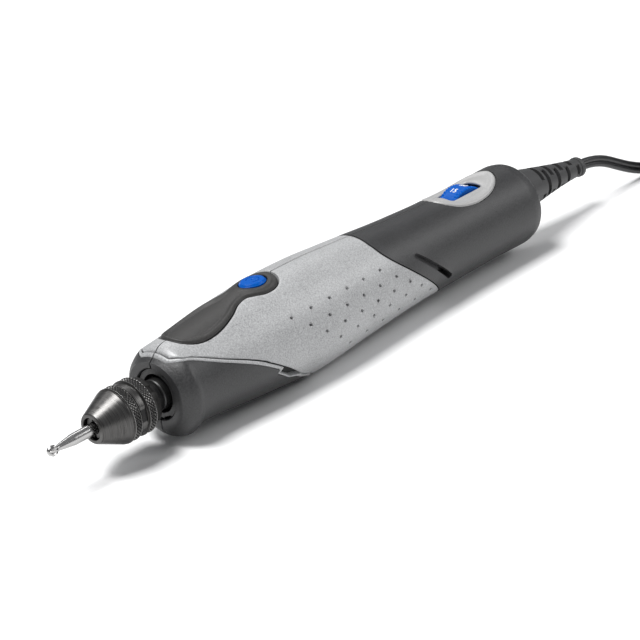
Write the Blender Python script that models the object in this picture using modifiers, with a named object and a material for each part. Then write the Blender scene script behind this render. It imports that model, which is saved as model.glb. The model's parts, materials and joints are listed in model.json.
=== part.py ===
"""Corded rotary hobby tool: a pen-shaped high-speed tool with a keyless chuck, a ball burr,
a spindle lock, a speed dial and a thin low-voltage lead that ends in a barrel plug.

Frame: the spindle axis runs along Y, with the nose at -Y and +Z up.  The housing splits on X = 0.
Origin: middle of the tool's box, on the surface that it rests on.
Stations are millimetres behind the chuck's front face; heights are millimetres above the axis.
"""
import math

import bmesh
import bpy
from mathutils import Matrix, Vector

MM = 0.001

# ---------------------------------------------------------------- driving dimensions (mm)
AXIS_HEIGHT = 14.2          # spindle axis above the surface the tool rests on
FLAT_DEPTH = 14.2           # flat on the underside, below the axis
GAP = 0.3                   # clearance between pieces that touch

BURR_TIP = -14.6
BALL_RADIUS = 1.5
SHANK_RADIUS = 1.5875       # 1/8 inch shank
CHUCK_RADIUS = 7.65
CHUCK_END = 18.0
CONE_SLOPE = 0.3056         # the jaws' cone inside the sleeve: radius per length
NOSE_FACE = 22.3
BODY_END = 168.7
RELIEF_END = 200.3
RELIEF_HEIGHT = 2.0         # the strain relief's root above the axis
RELIEF_FALL = 2.4           # how far its tip hangs below the root
MIDDLE = (BURR_TIP + RELIEF_END) / 2

COVER_THICKNESS = 1.3
BEZEL_THICKNESS = 1.5
LOCK_STATION = 61.5
BUTTON_BASE = 14.5          # underside of the lock button
BUTTON_WELL_FLOOR = 11.0
SPRING_HEIGHT = 1.2         # the return spring, drawn pressed flat
DIAL_STATION = 145.8
DIAL_HEIGHT = 4.1
DIAL_RADIUS = 8.4
DIAL_WIDTH = 6.2
SHELL_SEGMENTS = 40
ROUND_STEPS = 24
CHUCK_STEPS = 32

CORD_RADIUS = 1.8
HANK_CENTRE = (10.9, 263.0)  # x, station
HANK_STRAIGHT = 40.0  # between the centres of its two round ends
HANK_INNER_RADIUS = 4.6
HANK_OUTER_RADIUS = 12.4
HANK_HEIGHT = 14.6
TIE_STATION = 247.5

# station, half width, height of the top, depth of the bottom
SKIN = (
    (22.3, 9.9, 9.0, 9.9), (23.2, 11.0, 9.7, 11.2), (24.6, 12.2, 10.8, 12.6),
    (26.4, 12.7, 12.1, 13.3), (28.2, 12.3, 12.5, 12.7), (31.0, 12.35, 12.8, 11.9),
    (36.0, 12.7, 13.5, 12.0), (41.0, 13.3, 14.15, 12.4), (49.0, 14.2, 15.1, 13.2),
    (57.0, 14.8, 15.7, 13.8), (65.0, 15.3, 16.2, 14.4), (71.0, 15.55, 16.3, 14.9),
    (79.5, 15.4, 16.15, 14.5), (90.0, 14.7, 15.5, 13.6), (101.0, 13.95, 14.7, 12.95),
    (112.0, 13.25, 13.8, 12.4), (120.0, 12.85, 13.3, 12.2), (135.0, 12.4, 12.66, 12.1),
    (150.0, 12.3, 12.6, 12.0), (163.5, 12.5, 12.6, 12.35), (166.1, 12.1, 12.2, 11.95),
    (167.8, 11.1, 11.2, 11.0), (168.7, 9.6, 9.7, 9.5),
)

# side view of the two cover shells: station, height
COVER_OUTLINE = (
    (23.6, 22.0), (23.6, 9.2), (28.0, 8.8), (36.0, 5.4), (46.2, 0.8), (54.7, -4.4),
    (62.0, -9.7), (69.0, -13.6), (71.0, -22.0), (136.0, -22.0), (123.6, -9.8),
    (110.3, 1.6), (104.3, 6.8), (101.2, 10.2), (99.9, 13.1), (99.5, 22.0),
)
COVER_START, COVER_STOP = 23.6, 136.0
COVER_WINDOW = ((56.2, -3.3), (56.2, -4.7), (60.4, -7.7), (62.6, -7.7))
UNDERSIDE_STRIP = 5.0       # half width of the housing that shows between the covers below

# plan view of the thumb pad: station, half width
PAD_OUTLINE = (
    (29.4, 0.0), (29.9, 2.9), (31.3, 5.0), (33.8, 6.6), (37.5, 7.4), (42.0, 7.3),
    (47.0, 6.2), (51.0, 4.5), (54.5, 4.0), (57.0, 4.9), (60.0, 6.1), (63.3, 6.2),
    (66.0, 5.0), (67.5, 2.8), (68.0, 0.0),
)
# plan view of the dial bezel: station, half width
BEZEL_OUTLINE = (
    (133.2, 0.0), (133.7, 2.8), (135.2, 5.2), (138.0, 7.1), (142.0, 8.0), (146.0, 8.2),
    (151.0, 7.6), (155.0, 6.0), (157.8, 3.6), (159.3, 0.0),
)
WINDOW = (138.6, 152.4, 3.9)  # first station, last station, half width

SCREWS = ((40.0, -8.8), (66.0, -9.4), (129.5, -7.5), (158.0, -7.5))  # station, height
SCREW_HEAD_X = -6.2

# the lead's route on its way from the relief to the hank: x, station, height above the surface
CORD_ROUTE = (
    (0.0, RELIEF_END + GAP, 13.85), (0.0, 204.5, 13.5), (0.0, 209.0, 12.5),
    (0.0, 213.5, 10.8), (0.0, 218.5, 8.2), (0.1, 223.5, 5.6), (0.2, 228.5, 3.4),
    (0.1, 231.5, 2.4), (0.0, 234.0, 1.9),
)
# the lead's last stretch, from the hank's far end round to the plug
TAIL_ROUTE = (
    (14.2, 297.4, 11.9), (18.0, 297.2, 10.9), (21.9, 295.4, 9.4), (25.2, 292.2, 7.7),
    (27.6, 288.0, 6.1), (28.6, 283.8, 5.3), (28.8, 281.0, 5.1),
)
PLUG_BACK = (28.8, 280.4, 5.1)


# ---------------------------------------------------------------- scene and materials
def clear_scene():
    for item in list(bpy.data.objects):
        bpy.data.objects.remove(item, do_unlink=True)


def make_collection(name):
    group = bpy.data.collections.new(name)
    bpy.context.scene.collection.children.link(group)
    return group


clear_scene()
PARTS = make_collection("rotary_hobby_tool")
CUTTERS = make_collection("cutters")


def make_material(name, colour, roughness, metallic=0.0):
    finish = bpy.data.materials.new(name)
    finish.use_nodes = True
    shader = finish.node_tree.nodes["Principled BSDF"]
    shader.inputs["Base Color"].default_value = (*colour, 1.0)
    shader.inputs["Roughness"].default_value = roughness
    shader.inputs["Metallic"].default_value = metallic
    finish.diffuse_color = (*colour, 1.0)
    return finish


DARK_PLASTIC = make_material("dark_grey_plastic", (0.045, 0.045, 0.048), 0.55)
SILVER_PLASTIC = make_material("silver_grey_plastic", (0.36, 0.365, 0.37), 0.42)
PAD_RUBBER = make_material("pad_rubber", (0.07, 0.07, 0.075), 0.7)
BLUE_PLASTIC = make_material("blue_plastic", (0.01, 0.12, 0.55), 0.35)
BEZEL_PLASTIC = make_material("light_grey_plastic", (0.5, 0.51, 0.52), 0.4)
BLACK_OXIDE = make_material("black_oxide_steel", (0.06, 0.06, 0.065), 0.32, 1.0)
BRIGHT_STEEL = make_material("bright_steel", (0.62, 0.62, 0.62), 0.25, 1.0)
BEARING_STEEL = make_material("bearing_steel", (0.5, 0.5, 0.5), 0.3, 1.0)
ZINC_PLATE = make_material("zinc_plated_steel", (0.45, 0.45, 0.43), 0.4, 1.0)
COPPER = make_material("copper", (0.65, 0.28, 0.13), 0.35, 1.0)
CARBON = make_material("brush_carbon", (0.03, 0.03, 0.03), 0.7)
MAGNET = make_material("ferrite_magnet", (0.08, 0.08, 0.08), 0.6)
IRON = make_material("laminated_iron", (0.25, 0.24, 0.23), 0.5, 1.0)
NYLON = make_material("natural_nylon", (0.7, 0.68, 0.62), 0.5)
CIRCUIT = make_material("circuit_board_green", (0.02, 0.16, 0.06), 0.5)
LEAD_RED = make_material("red_wire", (0.5, 0.02, 0.02), 0.5)
LEAD_BLACK = make_material("black_wire", (0.02, 0.02, 0.02), 0.5)
RELIEF_RUBBER = make_material("relief_rubber", (0.035, 0.035, 0.038), 0.6)
CORD_VINYL = make_material("cord_vinyl", (0.03, 0.03, 0.032), 0.5)
NICKEL = make_material("nickel_plate", (0.6, 0.58, 0.53), 0.25, 1.0)


# ---------------------------------------------------------------- helpers
def place(x, station, height):
    """World position of a point given by its side offset, station and height, all in mm."""
    return Vector((x, station - MIDDLE, height + AXIS_HEIGHT)) * MM


def on_surface(x, station, height):
    """World position of a point whose height is measured from the surface, in mm."""
    return place(x, station, height - AXIS_HEIGHT)


def add_object(name, mesh, finish=None):
    thing = bpy.data.objects.new(name, mesh)
    if finish is None:
        CUTTERS.objects.link(thing)
        thing.hide_render = True
        thing.display_type = "WIRE"
    else:
        PARTS.objects.link(thing)
        mesh.materials.append(finish)
    return thing


def from_bmesh(name, shape, finish=None, smooth=False):
    bmesh.ops.recalc_face_normals(shape, faces=shape.faces)
    mesh = bpy.data.meshes.new(name)
    shape.to_mesh(mesh)
    shape.free()
    if smooth:
        mesh.shade_smooth()
        mesh.set_sharp_from_angle(angle=math.radians(35))
    return add_object(name, mesh, finish)


def turned(name, profile, finish=None, steps=ROUND_STEPS, height=0.0, closed=False):
    """A turned piece on the tool's axis: the profile lists (radius, station), nose end first."""
    mesh = bpy.data.meshes.new(name)
    points = [(radius * MM, 0.0, -station * MM) for radius, station in profile]
    edges = [(i, i + 1) for i in range(len(points) - 1)]
    if closed:
        edges.append((len(points) - 1, 0))
    mesh.from_pydata(points, edges, [])
    thing = add_object(name, mesh, finish)
    thing.location = place(0, 0, height)
    thing.rotation_euler = (math.radians(90), 0, 0)
    spin = thing.modifiers.new("turn", "SCREW")
    spin.steps = spin.render_steps = steps
    spin.use_merge_vertices = True
    spin.merge_threshold = 0.00001
    return thing


def ring(name, inner, outer, start, stop, finish=None, steps=ROUND_STEPS, height=0.0):
    profile = ((inner, start), (outer, start), (outer, stop), (inner, stop))
    return turned(name, profile, finish, steps, height, closed=True)


def plug_disc(name, radius, start, stop, finish=None, steps=ROUND_STEPS, height=0.0):
    profile = ((0, start), (radius, start), (radius, stop), (0, stop))
    return turned(name, profile, finish, steps, height)


def block(name, low, high, finish=None):
    """A box between two corners given as (x, station, height) in mm."""
    shape = bmesh.new()
    bmesh.ops.create_cube(shape, size=1.0)
    first, last = place(*low), place(*high)
    size = last - first
    bmesh.ops.scale(shape, vec=size, verts=shape.verts)
    thing = from_bmesh(name, shape, finish)
    thing.location = (first + last) / 2
    return thing


def rod(name, radius, first, last, finish=None, sides=16):
    """A cylinder between two points given as (x, station, height) in mm."""
    start, stop = place(*first), place(*last)
    shape = bmesh.new()
    bmesh.ops.create_cone(shape, cap_ends=True, segments=sides, radius1=radius * MM,
                          radius2=radius * MM, depth=(stop - start).length)
    thing = from_bmesh(name, shape, finish, smooth=True)
    thing.rotation_euler = (stop - start).to_track_quat("Z", "Y").to_euler()
    thing.location = (start + stop) / 2
    return thing


def prism(name, corners, depth, finish=None):
    """The flat face through the corners, pushed out by depth (a vector in mm)."""
    shape = bmesh.new()
    face = shape.faces.new([shape.verts.new(corner) for corner in corners])
    made = bmesh.ops.extrude_face_region(shape, geom=[face])
    moved = [item for item in made["geom"] if isinstance(item, bmesh.types.BMVert)]
    bmesh.ops.translate(shape, vec=Vector(depth) * MM, verts=moved)
    return from_bmesh(name, shape, finish)


def side_prism(name, outline):
    return prism(name, [place(-24, *point) for point in outline], (48, 0, 0))


def grown(outline, amount):
    """A flat outline moved outwards by amount, with mitred corners."""
    points = [Vector(point) for point in outline]
    pairs = list(zip(points, points[1:] + points[:1]))
    turn = 1 if sum(a.x * b.y - b.x * a.y for a, b in pairs) > 0 else -1
    moved = []
    for i, point in enumerate(points):
        into = (point - points[i - 1]).normalized()
        out = (points[(i + 1) % len(points)] - point).normalized()
        first = Vector((into.y, -into.x)) * turn
        second = Vector((out.y, -out.x)) * turn
        away = (first + second).normalized()
        moved.append(point + away * amount / max(0.4, away.dot(first)))
    return moved


def plan_prism(name, half_outline, low, tall, grow=0.0):
    """A cutter from a plan outline that is the same on both sides of X = 0."""
    near = [(half, station) for station, half in half_outline]
    far = [(-half, station) for half, station in reversed(near[1:-1])]
    outline = grown(near + far, grow)
    return prism(name, [place(x, station, low) for x, station in outline], (0, 0, tall))


def boolean(thing, cutter, operation="DIFFERENCE", solver="EXACT"):
    step = thing.modifiers.new(cutter.name, "BOOLEAN")
    step.operation = operation
    step.object = cutter
    step.solver = solver
    return thing


def baked(thing):
    """Turns an object's modifiers into its mesh."""
    bpy.context.view_layer.update()
    graph = bpy.context.evaluated_depsgraph_get()
    mesh = bpy.data.meshes.new_from_object(thing.evaluated_get(graph))
    thing.modifiers.clear()
    old = thing.data
    thing.data = mesh
    bpy.data.meshes.remove(old)
    return thing


def tube(name, points, radius, finish, resolution=2):
    """A round lead along points in metres."""
    curve = bpy.data.curves.new(name, "CURVE")
    curve.dimensions = "3D"
    curve.bevel_depth = radius * MM
    curve.bevel_resolution = resolution
    curve.use_fill_caps = True
    spline = curve.splines.new("POLY")
    spline.points.add(len(points) - 1)
    for target, point in zip(spline.points, points):
        target.co = (*point, 1.0)
    curve.materials.append(finish)
    thing = bpy.data.objects.new(name, curve)
    PARTS.objects.link(thing)
    return thing


def smooth_route(route, spacing):
    """Points every spacing mm along the smooth curve through a route's points, in metres."""
    spacing *= MM
    route = [on_surface(*point) for point in route]
    knots = [2 * route[0] - route[1]] + route + [2 * route[-1] - route[-2]]
    fine = []
    for before, start, stop, after in zip(knots, knots[1:], knots[2:], knots[3:]):
        for step in range(20):
            t = step / 20
            fine.append(0.5 * (2 * start + (stop - before) * t
                               + (2 * before - 5 * start + 4 * stop - after) * t * t
                               + (3 * start - before - 3 * stop + after) * t ** 3))
    fine.append(route[-1])
    length = sum((b - a).length for a, b in zip(fine, fine[1:]))
    wanted = max(2, round(length / spacing))
    points, travelled, target = [fine[0]], 0.0, length / wanted
    for start, stop in zip(fine, fine[1:]):
        piece = (stop - start).length
        while travelled + piece >= target and len(points) < wanted:
            points.append(start.lerp(stop, (target - travelled) / piece))
            target += length / wanted
        travelled += piece
    return points + [fine[-1]]


# ---------------------------------------------------------------- the tool's outer skin
def skin_at(station):
    """Half width, top and bottom of the skin at a station, on a smooth monotone curve."""
    rows = SKIN
    station = min(max(station, rows[0][0]), rows[-1][0])
    index = max(i for i in range(len(rows) - 1) if rows[i][0] <= station)
    span = rows[index + 1][0] - rows[index][0]
    t = (station - rows[index][0]) / span
    values = []
    for column in (1, 2, 3):
        def slope(i):
            if i in (0, len(rows) - 1):
                j = min(max(i, 1), len(rows) - 1)
                return (rows[j][column] - rows[j - 1][column]) / (rows[j][0] - rows[j - 1][0])
            left = (rows[i][column] - rows[i - 1][column]) / (rows[i][0] - rows[i - 1][0])
            right = (rows[i + 1][column] - rows[i][column]) / (rows[i + 1][0] - rows[i][0])
            return 0.0 if left * right <= 0 else 2 * left * right / (left + right)
        start, stop = rows[index][column], rows[index + 1][column]
        values.append((2 * t ** 3 - 3 * t ** 2 + 1) * start + (t ** 3 - 2 * t ** 2 + t) * span
                      * slope(index) + (3 * t ** 2 - 2 * t ** 3) * stop
                      + (t ** 3 - t ** 2) * span * slope(index + 1))
    return values


def skin_ring(station, inset):
    """Corners of one cross section of the skin, moved inwards by inset."""
    half, top, bottom = (value - inset for value in skin_at(station))
    corners = []
    for step in range(SHELL_SEGMENTS):
        angle = math.tau * (step + 0.5) / SHELL_SEGMENTS
        height = (top if math.sin(angle) > 0 else bottom) * math.sin(angle)
        corners.append(place(half * math.cos(angle), station, max(height, inset - FLAT_DEPTH)))
    return corners


def skin_stations(start, stop):
    inner = [row[0] for row in SKIN if start < row[0] < stop]
    stations = [start]
    for station in inner + [stop]:
        while station - stations[-1] > 9.0:
            stations.append(stations[-1] + (station - stations[-1]) / 2)
        stations.append(station)
    return stations


def loft(name, inset, start, stop, finish=None):
    """A closed solid that follows the skin between two stations."""
    shape = bmesh.new()
    rings = [[shape.verts.new(corner) for corner in skin_ring(station, inset)]
             for station in skin_stations(start, stop)]
    for front, back in zip(rings, rings[1:]):
        for i in range(SHELL_SEGMENTS):
            j = (i + 1) % SHELL_SEGMENTS
            shape.faces.new((front[i], front[j], back[j], back[i]))
    shape.faces.new(rings[0])
    shape.faces.new(rings[-1])
    return from_bmesh(name, shape, finish, smooth=True)


def skin_shell(name, outer_inset, inner_inset, start, stop):
    """A tube of wall that follows the skin, open at both ends."""
    shell = loft(name, outer_inset, start, stop)
    core = loft(name + "_core", inner_inset, start - 1.0, stop + 1.0)
    return baked(boolean(shell, core))


def other_side(name, side):
    """A cutter that removes everything past the middle plane, less half the gap."""
    low, high = sorted((side * GAP / 2, -side * 40))
    return block(name, (low, -30, -40), (high, 230, 40))


# ---------------------------------------------------------------- burr and chuck
def make_burr():
    steps = 8
    ball_centre = BURR_TIP + BALL_RADIUS
    neck_radius = 0.85
    last = math.pi - math.asin(neck_radius / BALL_RADIUS)
    profile = [(BALL_RADIUS * math.sin(last * i / steps),
                ball_centre - BALL_RADIUS * math.cos(last * i / steps)) for i in range(steps + 1)]
    profile += [(neck_radius, -11.0), (SHANK_RADIUS, -6.4), (SHANK_RADIUS, 11.0), (0, 11.0)]
    turned("ball_burr", profile, BRIGHT_STEEL, 24)


def make_chuck_sleeve():
    profile = (
        (3.1, 0.0), (4.0, 0.0), (4.25, 0.25), (7.3, 7.2), (7.45, 7.5), (7.2, 7.7), (7.2, 8.0),
        (CHUCK_RADIUS, 8.2), (CHUCK_RADIUS, 10.3), (7.3, 10.6),
        (5.6, 10.6), (5.6, 8.2), (3.1 + CONE_SLOPE * 7.2, 7.9), (3.1, 0.7),
    )
    turned("chuck_sleeve", profile, BLACK_OXIDE, CHUCK_STEPS, closed=True)


def make_chuck_body():
    profile = (
        (2.1, 9.6), (5.2, 9.6), (5.2, 10.9), (7.2, 10.9), (7.2, 12.7), (6.9, 12.9), (6.9, 13.1),
        (CHUCK_RADIUS, 13.3), (CHUCK_RADIUS, 15.5), (7.2, 15.9), (6.6, CHUCK_END),
        (3.4, CHUCK_END), (3.4, 12.6), (2.1, 12.2),
    )
    body = turned("chuck_body", profile, BLACK_OXIDE, CHUCK_STEPS, closed=True)
    for side in (-1, 1):
        low, high = sorted((side * 6.75, side * 9.0))
        boolean(body, block(f"wrench_flat_{side}", (low, 10.95, -3.4), (high, 12.65, 3.4)))


def make_jaws():
    """Four jaws around the shank, which slide back and out along the sleeve's inner cone."""
    inner, front, length = SHANK_RADIUS + 0.15, 0.9, 6.2
    back = front + length
    profile = ((inner, front), (2.78, front), (2.78 + CONE_SLOPE * length, back), (inner, back))
    for number in range(4):
        jaw = turned(f"chuck_jaw_{number + 1}", profile, BLACK_OXIDE, CHUCK_STEPS, closed=True)
        sector = block(f"jaw_sector_{number + 1}", (0.35, -1, 0.35), (8, 12, 8))
        turn = Matrix.Rotation(math.radians(90 * number), 4, "Y")
        axis = Matrix.Translation(place(0, 0, 0))
        bpy.context.view_layer.update()
        sector.matrix_world = axis @ turn @ axis.inverted() @ sector.matrix_world
        boolean(jaw, sector, "INTERSECT")


# ---------------------------------------------------------------- spindle and drive
def make_spindle():
    profile = (
        (0, 12.9), (3.1, 12.9), (3.1, 18.3), (4.4, 18.3), (4.4, 26.4), (2.6, 26.4),
        (2.6, 64.6), (0, 64.6),
    )
    turned("spindle", profile, BEARING_STEEL)


def make_bearings():
    ring("front_bearing", 2.9, 6.4, 26.8, 31.3, BEARING_STEEL)
    ring("rear_bearing", 2.9, 6.4, 47.9, 51.5, BEARING_STEEL)


def make_nose_ring():
    nose = ring("nose_ring", 5.4, 6.9, 23.0, 26.4, DARK_PLASTIC)
    for number in range(3):
        slot = block(f"nose_ring_notch_{number}", (-1.1, 22.0, 4.6), (1.1, 24.0, 8.0))
        turn = Matrix.Rotation(math.radians(120 * number + 40), 4, "Y")
        axis = Matrix.Translation(place(0, 0, 0))
        bpy.context.view_layer.update()
        slot.matrix_world = axis @ turn @ axis.inverted() @ slot.matrix_world
        boolean(nose, slot)


def make_lock_collar():
    collar = ring("lock_collar", 2.9, 5.0, 59.3, 63.7, BEARING_STEEL)
    boolean(collar, block("collar_slot_x", (-7, 60.0, -1.6), (7, 65.0, 1.6)))
    boolean(collar, block("collar_slot_z", (-1.6, 60.0, -7), (1.6, 65.0, 7)))


def make_coupling():
    profile = ((0, 64.9), (4.0, 64.9), (4.0, 67.2), (3.2, 67.6), (3.2, 69.2), (4.0, 69.6),
               (4.0, 71.2), (0, 71.2))
    turned("drive_coupling", profile, NYLON)


def make_motor():
    can = ((1.6, 74.0), (8.6, 74.0), (9.2, 74.6), (9.2, 102.0), (8.5, 102.0), (8.5, 75.2),
           (1.6, 75.2))
    turned("motor_can", can, ZINC_PLATE, closed=True)
    shaft = ((0, 71.5), (1.15, 71.5), (1.15, 79.0), (5.9, 79.0), (5.9, 94.0), (1.15, 94.0),
             (1.15, 102.6), (0, 102.6))
    turned("armature", shaft, IRON)
    ring("commutator", 1.45, 3.0, 95.0, 99.5, COPPER, 24)
    for side, name in ((1, "magnet_left"), (-1, "magnet_right")):
        magnet = ring(name, 6.5, 8.2, 77.5, 95.5, MAGNET)
        low, high = sorted((side * 1.6, side * 10))
        boolean(magnet, block(name + "_half", (low, 76, -10), (high, 97, 10)), "INTERSECT")
        low, high = sorted((side * 3.3, side * 5.6))
        block("brush_left" if side > 0 else "brush_right", (low, 95.8, -1.2), (high, 98.8, 1.2),
              CARBON)
        low, high = sorted((side * 4.6, side * 5.2))
        block("terminal_left" if side > 0 else "terminal_right", (low, 106.5, -1.4),
              (high, 109.6, 1.4), COPPER)
    cap = ((0, 103.0), (1.5, 103.0), (1.5, 102.3), (9.2, 102.3), (9.2, 105.4), (8.6, 106.2),
           (0, 106.2))
    turned("motor_end_cap", cap, NYLON)


# ---------------------------------------------------------------- spindle lock
def button_outline(grow=0.0):
    """Rounded drop seen from above: station, half width."""
    steps = 10
    points = []
    for i in range(steps + 1):
        angle = math.pi * i / steps
        along = LOCK_STATION - (4.0 + grow) * math.cos(angle)
        narrow = 0.72 if angle < math.pi / 2 else 1.0
        half = (3.6 + grow) * math.sin(angle) * (narrow + (1 - narrow) * math.sin(angle))
        points.append((along, 0.0 if i in (0, steps) else half))
    return points


def make_lock():
    button = plan_prism("button_blank", button_outline(), BUTTON_BASE, 2.2)
    button.name = "lock_button"
    CUTTERS.objects.unlink(button)
    PARTS.objects.link(button)
    button.hide_render = False
    button.display_type = "TEXTURED"
    button.data.materials.append(BLUE_PLASTIC)
    edge = button.modifiers.new("rounded_edge", "BEVEL")
    edge.width = 0.0005
    edge.segments = 2
    rod("lock_pin", 1.2, (0, LOCK_STATION, 5.6), (0, LOCK_STATION, BUTTON_BASE - GAP), BRIGHT_STEEL)
    spring = ring("lock_spring", 1.7, 2.4, 0.0, SPRING_HEIGHT, BRIGHT_STEEL, 24)
    spring.rotation_euler = (0, 0, 0)
    spring.location = place(0, LOCK_STATION, BUTTON_WELL_FLOOR + GAP + SPRING_HEIGHT)


# ---------------------------------------------------------------- housing, covers and trim
def make_cavity():
    profile = (
        (0, 18.8), (7.2, 18.8), (7.2, 26.7), (6.7, 26.7), (6.7, 31.6), (5.4, 31.6),
        (5.4, 47.6), (6.7, 47.6), (6.7, 52.0), (7.4, 52.0), (7.4, 73.0), (9.6, 73.0),
        (9.6, 112.0), (9.9, 114.0), (9.9, 162.5), (9.0, 163.4), (9.0, 167.2), (0, 167.2),
    )
    cavity = turned("cavity", profile, None, ROUND_STEPS)
    for number, (station, height) in enumerate(SCREWS[2:]):
        boolean(cavity, rod(f"boss_{number}", 2.9, (-12, station, height),
                            (12, station, height), None, 12))
    return baked(cavity)


def make_housing():
    body = loft("housing_body", 0.0, NOSE_FACE, BODY_END)
    boolean(body, make_cavity())
    boolean(body, plug_disc("relief_hole", 5.9, 166.0, 172.0, steps=ROUND_STEPS + 2,
                            height=RELIEF_HEIGHT))
    pocket = skin_shell("cover_pocket", -2.0, COVER_THICKNESS + GAP, COVER_START - 2, COVER_STOP)
    boolean(pocket, side_prism("pocket_side", grown(COVER_OUTLINE, GAP)), "INTERSECT")
    strip = UNDERSIDE_STRIP - GAP
    boolean(pocket, block("pocket_strip", (-strip, 10, -30), (strip, 150, 0)))
    boolean(body, baked(pocket))
    dish = skin_shell("bezel_pocket", -2.0, BEZEL_THICKNESS + GAP, 128.0, 162.0)
    boolean(dish, plan_prism("bezel_pocket_plan", BEZEL_OUTLINE, 2, 20, GAP), "INTERSECT")
    boolean(body, baked(dish))
    first, last, half = WINDOW
    reach = DIAL_RADIUS + 0.5
    boolean(body, block("dial_well", (-half, DIAL_STATION - reach, 2),
                        (half, DIAL_STATION + reach, 20)))
    boolean(body, plan_prism("button_well", button_outline(GAP), BUTTON_WELL_FLOOR, 8))
    boolean(body, rod("pin_hole", 1.6, (0, LOCK_STATION, 3), (0, LOCK_STATION, 14), None, 16))
    for side in (-1, 1):
        boolean(body, prism(f"vent_{side}", [place(side * 8.6, *point) for point in (
            (111.7, 5.1), (124.6, -5.8), (125.8, -4.4), (112.9, 6.5))], (side * 8, 0, 0)))
    for number, (station, height) in enumerate(SCREWS):
        boolean(body, rod(f"screw_hole_{number}", 1.4, (-9, station, height),
                          (6.6, station, height), None, 12))
        boolean(body, rod(f"screw_head_hole_{number}", 2.3, (-20, station, height),
                          (SCREW_HEAD_X + 1.9, station, height), None, 12))
    baked(body)
    for side, name in ((1, "housing_left"), (-1, "housing_right")):
        half = add_object(name, body.data.copy(), DARK_PLASTIC)
        boolean(half, other_side(name + "_side", side))
        baked(half)
    bpy.data.objects.remove(body, do_unlink=True)


def make_covers():
    shell = skin_shell("cover_shell", 0.0, COVER_THICKNESS, COVER_START - 1, COVER_STOP)
    boolean(shell, side_prism("cover_side", COVER_OUTLINE), "INTERSECT")
    boolean(shell, block("cover_strip",
                         (-UNDERSIDE_STRIP, 10, -30), (UNDERSIDE_STRIP, 150, 0)))
    boolean(shell, plan_prism("pad_opening", PAD_OUTLINE, 2, 20, GAP))
    for side in (-1, 1):
        low, high = sorted((side * 5, side * 20))
        window = [place(low, *point) for point in COVER_WINDOW]
        boolean(shell, prism(f"cover_window_{side}", window, (high - low, 0, 0)))
    baked(shell)
    for side, name in ((1, "cover_left"), (-1, "cover_right")):
        half = add_object(name, shell.data.copy(), SILVER_PLASTIC)
        boolean(half, other_side(name + "_side", side))
        baked(half)
    bpy.data.objects.remove(shell, do_unlink=True)


def make_pad():
    shell = skin_shell("thumb_pad", 0.0, COVER_THICKNESS, 26.0, 70.0)
    boolean(shell, plan_prism("pad_plan", PAD_OUTLINE, 2, 20), "INTERSECT")
    boolean(shell, plan_prism("pad_button_hole", button_outline(GAP), 2, 20))
    adopt(baked(shell), PAD_RUBBER)


def make_bezel():
    shell = skin_shell("dial_bezel", 0.0, BEZEL_THICKNESS, 129.0, 161.0)
    boolean(shell, plan_prism("bezel_plan", BEZEL_OUTLINE, 2, 20), "INTERSECT")
    first, last, half = WINDOW
    boolean(shell, block("dial_window", (-half, first, 2), (half, last, 20)))
    adopt(baked(shell), BEZEL_PLASTIC)


def adopt(thing, finish):
    """Moves a shaped shell from the cutters to the parts."""
    CUTTERS.objects.unlink(thing)
    PARTS.objects.link(thing)
    thing.hide_render = False
    thing.display_type = "TEXTURED"
    thing.data.materials.append(finish)


def make_screws():
    for number, (station, height) in enumerate(SCREWS):
        profile = ((0, 0), (1.9, 0), (1.9, 1.4), (1.1, 1.6), (1.1, 12.0), (0, 12.0))
        screw = turned(f"housing_screw_{number + 1}", profile, ZINC_PLATE, 16)
        screw.rotation_euler = (0, math.radians(-90), 0)
        screw.location = place(SCREW_HEAD_X, station, height)


# ---------------------------------------------------------------- electronics
def make_dial():
    bore, half = 1.5, DIAL_WIDTH / 2
    profile = ((bore, -half), (DIAL_RADIUS - 0.5, -half), (DIAL_RADIUS, 0.5 - half),
               (DIAL_RADIUS, half - 0.5), (DIAL_RADIUS - 0.5, half), (bore, half))
    dial = turned("speed_dial", profile, BLUE_PLASTIC, 36, closed=True)
    dial.rotation_euler = (0, math.radians(-90), 0)
    dial.location = place(0, DIAL_STATION, DIAL_HEIGHT)


def make_potentiometer():
    base = block("speed_potentiometer", (-6.9, 141.3, -0.8), (-4.1, 150.3, 6.2), CIRCUIT)
    boolean(base, rod("pot_shaft", 1.2, (-5.0, DIAL_STATION, DIAL_HEIGHT),
                      (3.4, DIAL_STATION, DIAL_HEIGHT), None, 16), "UNION")


def make_board():
    block("circuit_board", (-7.5, 110.2, -3.0), (7.5, 135.0, -1.6), CIRCUIT)
    rod("capacitor", 2.6, (3.6, 114.0, 1.3), (3.6, 124.0, 1.3), CARBON, 20)
    block("drive_transistor", (-6.4, 114.0, -1.3), (-1.4, 120.0, 1.6), CARBON)
    block("terminal_block", (-4.5, 127.5, -1.3), (4.5, 132.5, 2.4), NYLON)


def make_wires():
    for side, name, finish in ((1, "motor_wire_red", LEAD_RED), (-1, "motor_wire_black", LEAD_BLACK)):
        route = [place(side * 6.4, 107.0, 0.2), place(side * 6.9, 109.6, 1.4),
                 place(side * 6.9, 112.2, 0.2), place(side * 6.9, 113.2, -0.85)]
        if side > 0:
            route = [place(6.4, 107.0, 0.2), place(7.2, 110.0, 1.4), place(7.8, 114.0, 2.6),
                     place(7.4, 119.0, 3.4), place(6.6, 125.2, 0.6), place(6.5, 126.8, -0.85)]
        tube(name, route, 0.5, finish)
    for side, name, finish in ((1, "supply_wire_red", LEAD_RED), (-1, "supply_wire_black", LEAD_BLACK)):
        route = [place(side * 2.4, 135.4, -2.3), place(side * 2.6, 138.0, -5.4),
                 place(side * 2.6, 142.0, -6.6), place(side * 2.6, 150.0, -6.6),
                 place(side * 2.2, 153.6, -4.4), place(side * 1.4, 156.0, -1.4),
                 place(side * 1.0, 157.4, 0.9)]
        tube(name, route, 0.5, finish)


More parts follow.
